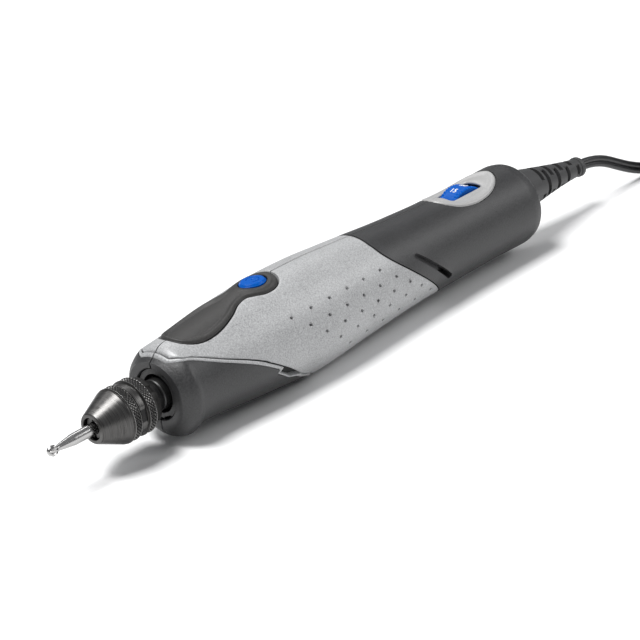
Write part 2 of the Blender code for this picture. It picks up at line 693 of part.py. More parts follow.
def make_cord_clamp():
    block("cord_clamp", (-6.5, 158.6, -2.6), (6.5, 162.0, -0.3), NYLON)
    for side in (-1, 1):
        screw = turned("clamp_screw_left" if side > 0 else "clamp_screw_right",
                       ((0, 0), (1.5, 0), (1.5, 1.2), (0, 1.2)), ZINC_PLATE, 16)
        screw.rotation_euler = (0, 0, 0)
        screw.location = place(side * 4.4, 160.3, 1.2)
    rod("inner_lead", 1.7, (0, 157.9, RELIEF_HEIGHT), (0, 164.3, RELIEF_HEIGHT), CORD_VINYL, 16)


# ---------------------------------------------------------------- strain relief and lead
def make_relief():
    """A tapered bellows that droops a little, slotted in turn from above and from the sides."""
    root, tip = 169.1, RELIEF_END - 1.7
    profile = [(0, 164.6), (6.6, 164.6), (6.6, 166.9), (5.6, 166.9), (5.6, 168.9)]
    steps = 7
    for i in range(steps + 1):
        t = i / steps
        profile.append((2.75 + 4.1 * (1 - t) ** 1.25, root + (tip - root) * t))
    profile += [(3.05, tip + 0.2), (3.05, RELIEF_END - 0.3), (2.75, RELIEF_END), (0, RELIEF_END)]
    relief = turned("strain_relief", profile, RELIEF_RUBBER, 20, height=RELIEF_HEIGHT)
    core, reach, width = 2.1, 8.0, 1.3
    across = (-reach, reach)
    for number in range(8):
        start = 178.3 + 2.75 * number
        for side in (-1, 1):
            cut = sorted((side * core, side * reach))
            x_range, z_range = (cut, across) if number % 2 else (across, cut)
            boolean(relief, block(
                f"relief_slot_{number}_{side}",
                (x_range[0], start, RELIEF_HEIGHT + z_range[0]),
                (x_range[1], start + width, RELIEF_HEIGHT + z_range[1])))
    baked(relief)
    droop(relief)


def droop(relief):
    """Bends the bellows down towards its tip."""
    start = place(0, 170.0, 0).y
    reach = place(0, RELIEF_END, 0).y - start
    turn = relief.matrix_world.copy()
    back = turn.inverted()
    for vertex in relief.data.vertices:
        point = turn @ vertex.co
        along = max(0.0, point.y - start) / reach
        point.z -= RELIEF_FALL * MM * along ** 1.2
        vertex.co = back @ point


def make_hank(name, finish):
    """A long ring with two round ends, which lies on the surface."""
    steps, shape = 14, bmesh.new()
    middle_x, middle = HANK_CENTRE
    rows = []
    for end in (1, -1):
        for step in range(steps + 1):
            turn = math.pi * step / steps + (0 if end > 0 else math.pi)
            corners = []
            for radius, height in ((HANK_INNER_RADIUS, 0), (HANK_OUTER_RADIUS, 0),
                                   (HANK_OUTER_RADIUS, HANK_HEIGHT),
                                   (HANK_INNER_RADIUS, HANK_HEIGHT)):
                corners.append(shape.verts.new(on_surface(
                    middle_x + radius * math.cos(turn),
                    middle + end * HANK_STRAIGHT / 2 + radius * math.sin(turn), height)))
            rows.append(corners)
    for row, after in zip(rows, rows[1:] + rows[:1]):
        for i in range(4):
            k = (i + 1) % 4
            shape.faces.new((row[i], row[k], after[k], after[i]))
    return from_bmesh(name, shape, finish, smooth=True)


def make_lead():
    cord = smooth_route(CORD_ROUTE, 2.2 * 2 * CORD_RADIUS)
    tube("power_cord", cord, CORD_RADIUS, CORD_VINYL)
    tail = smooth_route(TAIL_ROUTE, 1.6 * 2 * CORD_RADIUS)
    tube("power_cord_tail", tail, CORD_RADIUS, CORD_VINYL)
    make_hank("power_cord_coil", CORD_VINYL)


def make_cord_tie():
    """A strap over the hank's top and sides."""
    x, top = HANK_CENTRE[0], HANK_HEIGHT - AXIS_HEIGHT
    inside, outside = HANK_OUTER_RADIUS + 0.4, HANK_OUTER_RADIUS + 1.4
    tie = block("cord_tie", (x - outside, TIE_STATION - 2.0, top - 3.0),
                (x + outside, TIE_STATION + 2.0, top + 1.3), LEAD_BLACK)
    boolean(tie, block("tie_bore", (x - inside, TIE_STATION - 2.5, top - 4.0),
                       (x + inside, TIE_STATION + 2.5, top + GAP)))


def make_plug():
    """A barrel plug that lies on the surface beside the hank, pointing back along the tool."""
    body = ((0, 0), (2.3, 0), (3.1, 8.0), (4.6, 9.5), (4.9, 12.0), (4.9, 27.0), (4.4, 28.2), (0, 28.2))
    barrel = ((1.1, 28.5), (2.75, 28.5), (2.75, 37.6), (2.4, 38.0), (1.1, 38.0))
    for name, profile, finish, closed in (("cord_plug", body, RELIEF_RUBBER, False),
                                          ("plug_barrel", barrel, NICKEL, True)):
        piece = turned(name, profile, finish, 24, closed=closed)
        piece.rotation_euler = (math.radians(-90), 0, 0)
        piece.location = on_surface(*PLUG_BACK)


make_burr()
make_chuck_sleeve()
make_chuck_body()
make_jaws()
make_spindle()
make_bearings()
make_nose_ring()
make_lock_collar()
make_coupling()
make_motor()
make_lock()
make_housing()
make_covers()
make_pad()
make_bezel()
make_screws()
make_dial()
make_potentiometer()
make_board()
make_wires()
make_cord_clamp()
make_relief()
make_lead()
make_cord_tie()
make_plug()
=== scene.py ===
import json
import math

import bmesh
import bpy
import numpy as np
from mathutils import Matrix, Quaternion, Vector

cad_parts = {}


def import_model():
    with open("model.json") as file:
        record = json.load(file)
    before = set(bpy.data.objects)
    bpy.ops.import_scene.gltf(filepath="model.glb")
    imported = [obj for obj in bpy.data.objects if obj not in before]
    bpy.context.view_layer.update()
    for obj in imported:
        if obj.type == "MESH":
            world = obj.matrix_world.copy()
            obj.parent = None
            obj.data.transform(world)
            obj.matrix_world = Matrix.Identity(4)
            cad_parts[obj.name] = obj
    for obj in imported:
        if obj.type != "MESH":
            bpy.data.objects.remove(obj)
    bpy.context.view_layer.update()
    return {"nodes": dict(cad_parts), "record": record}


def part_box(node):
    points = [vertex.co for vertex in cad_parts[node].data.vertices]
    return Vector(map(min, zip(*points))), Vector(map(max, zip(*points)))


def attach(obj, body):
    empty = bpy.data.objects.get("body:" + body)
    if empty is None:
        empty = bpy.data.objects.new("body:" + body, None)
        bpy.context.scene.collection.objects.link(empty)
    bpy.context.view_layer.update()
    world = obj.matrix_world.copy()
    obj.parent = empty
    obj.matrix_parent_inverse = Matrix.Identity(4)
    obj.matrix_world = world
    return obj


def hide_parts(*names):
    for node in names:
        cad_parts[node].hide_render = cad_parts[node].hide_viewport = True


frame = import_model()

# A pen-shaped rotary tool. Lengths are in mm and stations run along the spindle axis from the
# chuck's front face; place() and world() turn them into the frame's metres.
MM = 0.001
SLEEVE_LOW, SLEEVE_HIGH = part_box("chuck_sleeve")
FRONT = SLEEVE_LOW[1]
AXIS = (SLEEVE_LOW[2] + SLEEVE_HIGH[2]) / 2
AXIS_MM = AXIS / MM

CHUCK_RADIUS = 7.65
SHANK_RADIUS = 1.5875
NOSE_FACE = 22.3
BODY_END = 168.7
RELIEF_ROOT, RELIEF_END = 169.1, 200.3
RELIEF_HEIGHT = 2.0         # of its centre above the axis, at its root
RELIEF_FALL = 2.4           # how far its tip droops
SEAM = 0.44                 # gap between the two halves
SEAT_DEPTH = 1.9            # of the seats under the covers and the bezel
PAD_SEAT_DEPTH, PAD_GAP = 1.6, 0.5
COVER_GAPS = (0.15, 0.25)   # before the covers' front edge and behind their rear edge
LOCK_STATION = 61.5
BUTTON_HALF_LENGTH, BUTTON_HALF_WIDTH = 4.0, 3.6
BUTTON_TOP, BUTTON_BASE = 16.62, 14.5       # heights above the axis
EMBLEM_RING, EMBLEM_DOT, EMBLEM_DEPTH = 1.75, 0.42, 0.3
DIAL_STATION, DIAL_HEIGHT, DIAL_RADIUS, DIAL_WIDTH = 145.8, 4.1, 8.4, 6.2
WINDOW = (138.6, 152.4, 3.9)
SCREW_HOLES = ((40.0, -8.8), (129.5, -7.5), (158.0, -7.5))
SCREW_WELL_RADIUS, SCREW_WELL_FLOOR = 2.3, 5.2
VENT_ENDS = np.array(((112.3, 5.6), (124.9, -5.2)))     # station, height
VENT_HALF_WIDTH = 0.85
# the pit's faces are painted with shade
PIT_START, PIT_DEPTH = 0.66, 3.6                        # the slot's dark lower end
DIMPLE_ROWS = (29.5, 15.3, 2.2, -12, -29)               # degrees up from the side
DIMPLE_COUNT, DIMPLE_START, DIMPLE_SLANT, DIMPLE_PITCH = 6, 61.3, 4.85, 7.15
DIMPLE_RADIUS, DIMPLE_EDGE_DEPTH, DIMPLE_BOWL_DEPTH = 0.5, 0.35, 0.5

# station, half width, height of the top, depth of the bottom
SKIN = np.array((
    (22.3, 9.9, 9.0, 9.9), (23.2, 11.0, 9.7, 11.2), (24.6, 12.2, 10.8, 12.6),
    (26.4, 12.7, 12.1, 13.3), (28.2, 12.3, 12.5, 12.7), (31.0, 12.35, 12.8, 11.9),
    (36.0, 12.7, 13.5, 12.0), (41.0, 13.3, 14.15, 12.4), (49.0, 14.2, 15.1, 13.2),
    (57.0, 14.8, 15.7, 13.8), (65.0, 15.3, 16.2, 14.4), (71.0, 15.55, 16.3, 14.9),
    (79.5, 15.4, 16.15, 14.5), (90.0, 14.7, 15.5, 13.6), (101.0, 13.95, 14.7, 12.95),
    (112.0, 13.25, 13.8, 12.4), (120.0, 12.85, 13.3, 12.2), (135.0, 12.4, 12.66, 12.1),
    (150.0, 12.3, 12.6, 12.0), (163.5, 12.5, 12.6, 12.35), (166.1, 12.1, 12.2, 11.95),
    (167.8, 11.1, 11.2, 11.0), (168.7, 9.6, 9.7, 9.5),
))
# side view of the covers' front and rear edges: station, height
COVER_FRONT = ((23.6, 9.2), (28.0, 8.8), (36.0, 5.4), (46.2, 0.8), (54.7, -4.4),
               (62.0, -9.7), (69.0, -13.6), (71.0, -22.0))
COVER_REAR = ((99.9, 13.1), (101.2, 10.2), (104.3, 6.8), (110.3, 1.6), (123.6, -9.8),
              (136.0, -22.0))
COVER_BOTTOM = math.radians(-71)
# plan views: station, half width
PAD_OUTLINE = (
    (29.4, 0.0), (29.9, 2.9), (31.3, 5.0), (33.8, 6.6), (37.5, 7.4), (42.0, 7.3),
    (47.0, 6.2), (51.0, 4.5), (54.5, 4.0), (57.0, 4.9), (60.0, 6.1), (63.3, 6.2),
    (66.0, 5.0), (67.5, 2.8), (68.0, 0.0),
)
BEZEL_OUTLINE = (
    (133.2, 0.0), (133.7, 2.8), (135.2, 5.2), (138.0, 7.1), (142.0, 8.0), (146.0, 8.2),
    (151.0, 7.6), (155.0, 6.0), (157.8, 3.6), (159.3, 0.0),
)
# the lead from the strain relief down to its hank, and from the hank to its plug:
# x, station, height above the surface
CORD_ROUTE = (
    (0.0, 200.6, 13.85), (0.0, 204.5, 13.5), (0.0, 209.0, 12.5), (0.0, 213.5, 10.8),
    (0.0, 218.5, 8.2), (0.1, 223.5, 5.6), (0.2, 228.5, 3.4), (0.1, 231.5, 2.4),
    (0.0, 234.0, 1.95), (0.0, 238.0, 1.85), (0.0, 242.0, 1.85),
)
TAIL_ROUTE = (
    (0.2, 285.0, 12.75), (1.3, 288.2, 12.75), (3.9, 291.4, 12.7), (8.6, 295.4, 12.5),
    (14.2, 297.4, 11.9), (18.0, 297.2, 10.9), (21.9, 295.4, 9.4), (25.2, 292.2, 7.7),
    (27.6, 288.0, 6.1), (28.6, 283.8, 5.3), (28.8, 281.0, 5.1), (28.8, 280.2, 5.1),
)
PLUG_BACK = (28.8, 280.4, 5.1)
CORD_WIDTH, CORD_THICKNESS = 3.6, 1.9
HANK_X = 10.9
HANK_ENDS = (243.0, 283.0)  # stations of the centres of its two round ends
HANK_COLUMNS = (10.9, 8.4, 5.9)
HANK_ROWS = (1.85, 5.5, 9.15, 12.75)


# ---- places
def world(x, station, height):
    """Arrays of x, station and height above the axis in mm, as points in the frame in metres."""
    x, station, height = np.broadcast_arrays(x, station, height)
    return np.stack((x * MM, FRONT + station * MM, AXIS + height * MM), axis=-1)


def place(x, station, height):
    return Vector(world(x, station, height).tolist())


def on_surface(x, station, height):
    """A point whose height is measured from the surface that the tool lies on."""
    return place(x, station, height - AXIS_MM)


def smoothstep(value, low, high):
    t = np.clip((value - low) / (high - low), 0.0, 1.0)
    return t * t * (3 - 2 * t)


# ---- camera and stage
CAMERA_ANGLES = (46.708, 21.886, -9.401)    # azimuth, elevation and roll in degrees
CAMERA_PLACE = (0.44214, -0.42585, 0.25426)
LENS, SENSOR = 135, 36
FLOOR_LEVEL = -0.0002       # just under the tool's flat
# name, place, size, watts; each light looks at the middle of the tool
LIGHTS = (
    ("key_light", (-0.08, -0.36, 1.1), (0.5, 0.35), 15),
    ("strip_light", (-0.45, 0.25, 0.65), (0.8, 0.15), 1.5),
    ("fill_light", (0.62, 0.68, 0.56), (0.7, 0.4), 3.4),
)


def add_object(name, data):
    thing = bpy.data.objects.new(name, data)
    bpy.context.scene.collection.objects.link(thing)
    return thing


def make_camera():
    azimuth, elevation, roll = (math.radians(value) for value in CAMERA_ANGLES)
    data = bpy.data.cameras.new("camera")
    data.lens, data.sensor_width = LENS, SENSOR
    data.clip_start, data.clip_end = 0.01, 20
    camera = add_object("camera", data)
    back = Vector((math.sin(azimuth) * math.cos(elevation),
                   -math.cos(azimuth) * math.cos(elevation), math.sin(elevation)))
    camera.rotation_mode = "QUATERNION"
    camera.rotation_quaternion = back.to_track_quat("Z", "Y") @ Quaternion((0, 0, 1), roll)
    camera.location = CAMERA_PLACE
    bpy.context.scene.camera = camera


def area_light(name, location, size, power):
    data = bpy.data.lights.new(name, "AREA")
    data.shape, data.size, data.size_y, data.energy = "RECTANGLE", size[0], size[1], power
    light = add_object(name, data)
    light.location = location
    light.rotation_mode = "QUATERNION"
    light.rotation_quaternion = (Vector(location) - Vector((0, 0, AXIS))).to_track_quat("Z", "Y")


def make_stage():
    shape = bmesh.new()
    bmesh.ops.create_grid(shape, x_segments=1, y_segments=1, size=4.0)
    data = bpy.data.meshes.new("floor")
    shape.to_mesh(data)
    shape.free()
    floor = add_object("floor", data)
    floor.location = (0, 0, FLOOR_LEVEL)
    paper = bpy.data.materials.new("floor_paper")
    paper.use_nodes = True
    inputs = paper.node_tree.nodes["Principled BSDF"].inputs
    inputs["Base Color"].default_value = (0.9, 0.9, 0.9, 1)
    inputs["Roughness"].default_value = 0.9
    inputs["Specular IOR Level"].default_value = 0.1
    floor.data.materials.append(paper)
    sky = bpy.data.worlds.new("studio")
    bpy.context.scene.world = sky
    sky.use_nodes = True
    inputs = sky.node_tree.nodes["Background"].inputs
    inputs["Color"].default_value = (0.95, 0.97, 1, 1)
    inputs["Strength"].default_value = 0.24
    view = bpy.context.scene.view_settings
    view.view_transform, view.look = "Standard", "None"
    for light in LIGHTS:
        area_light(*light)


# ---- materials
BROAD_SHARE = 0.12          # share of the broad cloudiness in the grain
GRAIN_RANGE = (0.26, 0.86)  # the blended noise's usual low and high
LATHE_STRETCH = (0.03, 1, 0.03)


def add_node(tree, kind, values, operation=None):
    """Adds a shader node, sets or links its inputs, and returns its outputs."""
    node = tree.nodes.new(kind)
    if operation:
        node.operation = operation
    for key, value in values.items():
        if isinstance(value, bpy.types.NodeSocket):
            tree.links.new(value, node.inputs[key])
        else:
            node.inputs[key].default_value = value
    return node.outputs


def surface(name, colour, roughness, metallic, grain, bump, vary, rough_vary,
            lathed=False, spec=0.5):
    """A finish with grain: grain is its size in mm, bump its height in mm, vary and rough_vary
    how much the colour and the roughness change with it; lathed stretches it round the axis."""
    material = bpy.data.materials.new(name)
    material.use_nodes = True
    tree = material.node_tree
    shader = tree.nodes["Principled BSDF"].inputs
    shader["Metallic"].default_value = metallic
    shader["Specular IOR Level"].default_value = spec
    at = add_node(tree, "ShaderNodeTexCoord", {})["Object"]
    stretch = LATHE_STRETCH if lathed else (1, 1, 1)
    scaled = add_node(tree, "ShaderNodeMapping", {
        "Vector": at, "Scale": [value / (grain * MM) for value in stretch]})["Vector"]
    fine = add_node(tree, "ShaderNodeTexNoise", {
        "Vector": scaled, "Scale": 1.0, "Detail": 3.0})["Fac"]
    broad = add_node(tree, "ShaderNodeTexNoise", {
        "Vector": at, "Scale": 120.0, "Detail": 2.0})["Fac"]
    blend = add_node(tree, "ShaderNodeMath", {0: broad, 1: BROAD_SHARE, 2: fine},
                     "MULTIPLY_ADD")["Value"]

    def spread(middle, amount):
        return add_node(tree, "ShaderNodeMapRange", {
            "Value": blend, "From Min": GRAIN_RANGE[0], "From Max": GRAIN_RANGE[1],
            "To Min": middle - amount, "To Max": middle + amount})["Result"]

    tint = add_node(tree, "ShaderNodeVectorMath", {0: colour, "Scale": spread(1, vary)}, "SCALE")
    relief = add_node(tree, "ShaderNodeBump", {
        "Distance": bump * MM, "Strength": 1.0, "Height": fine})
    tree.links.new(tint["Vector"], shader["Base Color"])
    tree.links.new(spread(roughness, rough_vary), shader["Roughness"])
    tree.links.new(relief["Normal"], shader["Normal"])
    return material


# name, colour, roughness, metallic, grain, bump, vary, rough_vary, then lathed and spec
FINISHES = {row[0]: surface(*row) for row in (
    ("dark_plastic", (0.026, 0.026, 0.027), 0.46, 0.0, 0.42, 0.06, 0.6, 0.12, False, 0.55),
    ("silver_plastic", (0.365, 0.368, 0.372), 0.44, 0.12, 0.38, 0.03, 0.42, 0.12),
    ("pad_rubber", (0.034, 0.033, 0.032), 0.5, 0.0, 0.35, 0.012, 0.3, 0.07, False, 0.4),
    ("blue_plastic", (0.0006, 0.083, 0.4), 0.3, 0.0, 0.35, 0.004, 0.08, 0.06, False, 0.1),
    ("bezel_plastic", (0.37, 0.368, 0.365), 0.42, 0.1, 0.3, 0.006, 0.1, 0.05),
    ("black_oxide", (0.09, 0.088, 0.086), 0.34, 0.9, 0.16, 0.02, 0.5, 0.12, True),
    ("bright_steel", (0.44, 0.435, 0.43), 0.24, 1.0, 0.12, 0.003, 0.12, 0.08, True),
    # the spindle's steel is darkened to near black so its neck between chuck and nose reads dark:
    # painted shade
    ("bearing_steel", (0.06, 0.06, 0.06), 0.4, 0.9, 0.2, 0.004, 0.2, 0.08, True),
    ("zinc_plate", (0.5, 0.5, 0.48), 0.36, 1.0, 0.3, 0.004, 0.1, 0.08),
    ("copper", (0.7, 0.32, 0.16), 0.3, 1.0, 0.3, 0.004, 0.1, 0.08),
    ("carbon", (0.03, 0.03, 0.03), 0.6, 0.0, 0.3, 0.01, 0.2, 0.08),
    ("ferrite", (0.07, 0.07, 0.07), 0.7, 0.0, 0.3, 0.02, 0.2, 0.08),
    ("laminated_iron", (0.25, 0.24, 0.23), 0.45, 0.9, 0.5, 0.02, 0.2, 0.1, True),
    ("nylon", (0.7, 0.68, 0.62), 0.5, 0.0, 0.5, 0.006, 0.05, 0.06),
    ("circuit_green", (0.02, 0.16, 0.06), 0.35, 0.0, 0.8, 0.004, 0.15, 0.08),
    ("red_wire", (0.5, 0.02, 0.02), 0.4, 0.0, 0.5, 0.004, 0.08, 0.06),
    ("black_wire", (0.022, 0.022, 0.022), 0.45, 0.0, 0.5, 0.004, 0.1, 0.06),
    ("relief_rubber", (0.042, 0.042, 0.043), 0.5, 0.0, 0.25, 0.01, 0.2, 0.07),
    ("cord_vinyl", (0.02, 0.02, 0.021), 0.36, 0.0, 0.6, 0.006, 0.15, 0.07),
    ("nickel", (0.62, 0.6, 0.55), 0.2, 1.0, 0.2, 0.003, 0.06, 0.05),
    # painted shade: near black, for the cover's groove, the air slot's pit, the knurls' valleys and
    # the boot's slots
    ("painted_gap_shade", (0.012, 0.012, 0.012), 0.8, 0.0, 0.4, 0.01, 0.2, 0.05),
    # painted shade inside the silver cover's dimples
    ("silver_painted_shade", (0.1, 0.1, 0.102), 0.6, 0.0, 0.2, 0.01, 0.2, 0.05),
    # painted highlight: brighter steel on the knurls' crests
    ("crest_painted_highlight", (0.36, 0.355, 0.35), 0.36, 0.9, 0.2, 0.01, 0.3, 0.1),
    ("dial_white", (0.85, 0.86, 0.87), 0.45, 0.0, 0.3, 0.002, 0.03, 0.04),
)}


# ---- mesh helpers
def grid_faces(rows, columns, close_rows=False, close_columns=False):
    """Quads of a grid of points, each as four indices."""
    last_row = rows if close_rows else rows - 1
    last_column = columns if close_columns else columns - 1
    i, j = np.meshgrid(np.arange(last_row), np.arange(last_column), indexing="ij")
    k, m = (i + 1) % rows, (j + 1) % columns
    return np.stack((i * columns + j, k * columns + j, k * columns + m, i * columns + m),
                    axis=-1).reshape(-1, 4)


def plain_mesh(name, points, faces, crease, groups=None, merge=False, outward=None):
    """A shaded mesh of listed faces. merge joins points that coincide; outward(centre) gives the
    direction that the faces of an open sheet point to."""
    data = bpy.data.meshes.new(name)
    data.from_pydata(points, [], faces)
    if groups is not None:
        data.polygons.foreach_set("material_index", groups.astype(np.int32))
    thing = add_object(name, data)
    shape = bmesh.new()
    shape.from_mesh(data)
    if merge:
        bmesh.ops.remove_doubles(shape, verts=shape.verts, dist=2e-6)
        bmesh.ops.dissolve_degenerate(shape, dist=1e-6, edges=shape.edges)
    bmesh.ops.recalc_face_normals(shape, faces=shape.faces)
    if outward:
        score = sum(face.normal.dot(outward(face.calc_center_median())) * face.calc_area()
                    for face in shape.faces)
        if score < 0:
            bmesh.ops.reverse_faces(shape, faces=shape.faces)
    shape.to_mesh(data)
    shape.free()
    data.shade_smooth()
    data.set_sharp_from_angle(angle=math.radians(crease))
    return thing


def mesh_object(name, points, faces, groups=None, outward=None, crease=40):
    """The shaded mesh of a grid of points."""
    return plain_mesh(name, points.reshape(-1, 3).tolist(), faces.tolist(), crease, groups,
                      True, outward)


def away_from_axis(centre):
    return Vector((centre.x, 0, centre.z - AXIS))


def upwards(_):
    return Vector((0, 0, 1))


def dress(thing, slot, body, *nodes, extra=()):
    """Gives a piece its finishes, its body and the nodes that it stands for."""
    for finish in (slot, *extra):
        thing.data.materials.append(FINISHES[finish])
    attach(thing, body)
    if nodes:
        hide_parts(*nodes)
    return thing


def thicken(thing, amount):
    """Turns a sheet into a wall that grows inwards."""
    wall = thing.modifiers.new("wall", "SOLIDIFY")
    wall.thickness, wall.offset = amount * MM, -1.0
    wall.use_even_offset = False


def rounded(profile, radius=0.12, steps=3):
    """A profile of (radius, station) whose corners are eased; points on the axis stay."""
    points = [np.array(point, float) for point in profile]
    made = []
    for i, point in enumerate(points):
        before, after = points[i - 1], points[(i + 1) % len(points)]
        on_end = i in (0, len(points) - 1) and point[0] < 1e-6
        if on_end:
            made.append(point)
            continue
        ahead, behind = after - point, before - point
        reach = min(radius, 0.4 * np.linalg.norm(ahead), 0.4 * np.linalg.norm(behind))
        first = point + behind / np.linalg.norm(behind) * reach
        last = point + ahead / np.linalg.norm(ahead) * reach
        for step in range(steps + 1):
            t = step / steps
            made.append((1 - t) ** 2 * first + 2 * t * (1 - t) * point + t * t * last)
    return np.array(made)


def turned(name, profile, steps=96, height=0.0, closed=False, ease=0.12, shape=None,
           crested=False, deep=9.0):
    """A profile of (radius, station) turned about the axis; shape(radius, station, angle) may
    change each radius. Faces cut deeper than deep get the second material, a painted shade, and
    the crests of a crested profile the third, a painted highlight."""
    profile = rounded(profile, ease) if ease else np.array(profile, float)
    if crested:
        profile = with_rings(profile)
    angle = np.linspace(0, math.tau, steps, endpoint=False)[:, None]
    radius, station = profile[None, :, 0], profile[None, :, 1]
    radius, station, angle = np.broadcast_arrays(radius, station, angle)
    if shape:
        radius = shape(radius, station, angle)
    points = world(radius * np.cos(angle), station, height + radius * np.sin(angle))
    faces = grid_faces(*points.shape[:2], close_rows=True, close_columns=closed)
    cut = (profile[None, :, 0] - radius).reshape(-1)[faces]
    # faces cut deeper than deep take the painted shade
    groups = (cut > deep).all(axis=1).astype(int)
    if crested:
        # the crests take the painted highlight
        at_rim = (radius > CHUCK_RADIUS - 0.1).reshape(-1)[faces].all(axis=1)
        groups = np.where(at_rim, 2, groups)
    return mesh_object(name, points, faces, groups, crease=32)


def knurl(radius, station, angle, band, count=46, pitch=0.84, depth=0.4):
    """Diamond points on a band, faded out at its two ends."""
    first, last = band
    turn = angle / math.tau * count
    along = (station - first) / pitch
    ridge = np.minimum(*(np.abs((turn + sign * along) % 1.0 - 0.5) for sign in (-1, 1)))
    cut = depth * (1 - np.minimum(1, 2.1 * ridge))
    inside = (smoothstep(station, first + 0.02, first + 0.14)
              * (1 - smoothstep(station, last - 0.14, last - 0.02)))
    outer = radius > CHUCK_RADIUS - 0.02
    return np.where(outer, radius - cut * inside, radius)


def with_rings(profile, count=38):
    """The profile with extra points along its straight runs at the chuck's full radius."""
    made = []
    for first, last in zip(profile, np.roll(profile, -1, axis=0)):
        made.append(first)
        level = abs(first[0] - CHUCK_RADIUS) < 1e-6 and abs(last[0] - CHUCK_RADIUS) < 1e-6
        if level and abs(last[1] - first[1]) > 1.0:
            made += [first + (last - first) * i / count for i in range(1, count)]
    return np.array(made)


# ---- the lead
def smooth_route(route, spacing=2.6):
    """Points about spacing mm apart on the smooth curve through a route, in metres."""
    fine = curve_through([on_surface(*point)[:] for point in route], 20)
    length = np.concatenate(([0.0], np.cumsum(np.linalg.norm(np.diff(fine, axis=0), axis=1))))
    wanted = np.linspace(0, length[-1], max(2, round(length[-1] / (spacing * MM))) + 1)
    return [Vector([float(np.interp(at, length, column)) for column in fine.T])
            for at in wanted]


def hank_route(samples=16):
    """The folded lead: turns in three columns and four rows, outer column first. It changes
    column or row on its way back to the front, the upper rows first, so no turns cross."""
    slots = [(column, row) for row in range(len(HANK_ROWS))
             for column in (HANK_COLUMNS if row % 2 == 0 else HANK_COLUMNS[::-1])]
    front, rear = HANK_ENDS
    top = len(HANK_ROWS) - 1
    first_change, change = 2.1, 0.27
    points = []
    for (radius, row), (next_radius, next_row) in zip(slots, slots[1:] + slots[-1:]):
        zone = 2 * (top - row) - (row != next_row)
        start = first_change + zone * change
        last_turn = (radius, row) == slots[-1]
        for step in range(samples if last_turn else 4 * samples):
            phase = step / samples
            t = float(smoothstep(phase, start, start + change))
            reach = radius + (next_radius - radius) * t
            height = HANK_ROWS[row] + (HANK_ROWS[next_row] - HANK_ROWS[row]) * t
            side, share = int(phase), phase % 1
            if side in (0, 2):
                x = HANK_X + (-reach if side == 0 else reach)
                station = front + (rear - front) * (share if side == 0 else 1 - share)
            else:
                angle = math.pi * (1 - share if side == 1 else -share)
                x = HANK_X + reach * math.cos(angle)
                station = (rear if side == 1 else front) + reach * math.sin(angle)
            points.append(on_surface(x, station, height))
    return points


def twin_section(steps=28):
    """Outline of a flat twin lead: across its width, across its thickness, in mm."""
    radius = CORD_THICKNESS / 2
    offset = (CORD_WIDTH - CORD_THICKNESS) / 2
    outline = []
    for step in range(steps):
        angle = math.tau * step / steps
        side, rise = math.cos(angle), math.sin(angle)
        reach = offset * abs(side) + math.sqrt(max(0.0, radius ** 2 - (offset * rise) ** 2))
        outline.append((reach * side, reach * rise))
    return outline


def make_lead():
    path = smooth_route(CORD_ROUTE) + hank_route() + smooth_route(TAIL_ROUTE)
    outline = twin_section()
    rings = []
    for i, point in enumerate(path):
        along = (path[min(i + 1, len(path) - 1)] - path[max(i - 1, 0)]).normalized()
        wide = (Vector((0, 0, 1)) - along * along.z).normalized()
        thin = along.cross(wide)
        rings.append([point + (wide * a + thin * b) * MM for a, b in outline])
    points = np.array(rings)
    count, steps = points.shape[:2]
    caps = np.array([path[0][:], path[-1][:]])
    faces = grid_faces(count, steps, close_columns=True).tolist()
    for cap, row in ((count * steps, 0), (count * steps + 1, count - 1)):
        faces += [[cap, row * steps + i, row * steps + (i + 1) % steps] for i in range(steps)]
    lead = plain_mesh("lead", points.reshape(-1, 3).tolist() + caps.tolist(), faces, 60)
    dress(lead, "cord_vinyl", "tool_body", "power_cord", "power_cord_coil", "power_cord_tail")
    return lead, path


def make_cord_tie():
    """A ribbed strap over the hank's top and sides."""
    low, high = (Vector(corner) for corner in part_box("cord_tie"))
    floor, corner, thick, edge = 0.3 * MM, 1.6 * MM, 1.0 * MM, 0.3 * MM
    # its outer face in section: x, z and the direction inwards
    path = [(low.x, floor, 1, 0)]
    for centre_x, first in ((low.x + corner, 180), (high.x - corner, 90)):
        for step in range(9):
            angle = math.radians(first - 90 * step / 8)
            side, rise = math.cos(angle), math.sin(angle)
            path.append((centre_x + corner * side, high.z - corner + corner * rise, -side, -rise))
    path.append((high.x, floor, -1, 0))
    path = np.array(path)
    fine = []
    for here, there in zip(path, path[1:]):
        steps = max(1, round(math.dist(here[:2], there[:2]) / (0.25 * MM)))
        fine += [here + (there - here) * n / steps for n in range(steps)]
    fine.append(path[-1])
    width = high.y - low.y
    rings = []
    for number, (x, z, inward_x, inward_z) in enumerate(fine):
        rib = 0.12 * MM * (number % 3 == 0)
        section = ((0, edge), (edge, 0), (edge * 2, rib), (width - edge * 2, rib),
                   (width - edge, 0), (width, edge), (width, thick), (0, thick))
        rings.append([(x + inward_x * depth, low.y + across, z + inward_z * depth)
                      for across, depth in section])
    points = np.array(rings)
    count, sides = points.shape[:2]
    faces = grid_faces(count, sides, close_columns=True).tolist()
    faces += [list(range(sides)), [(count - 1) * sides + i for i in range(sides)][::-1]]
    tie = plain_mesh("lead_tie", points.reshape(-1, 3).tolist(), faces, 30)
    return dress(tie, "black_wire", "tool_body", "cord_tie")


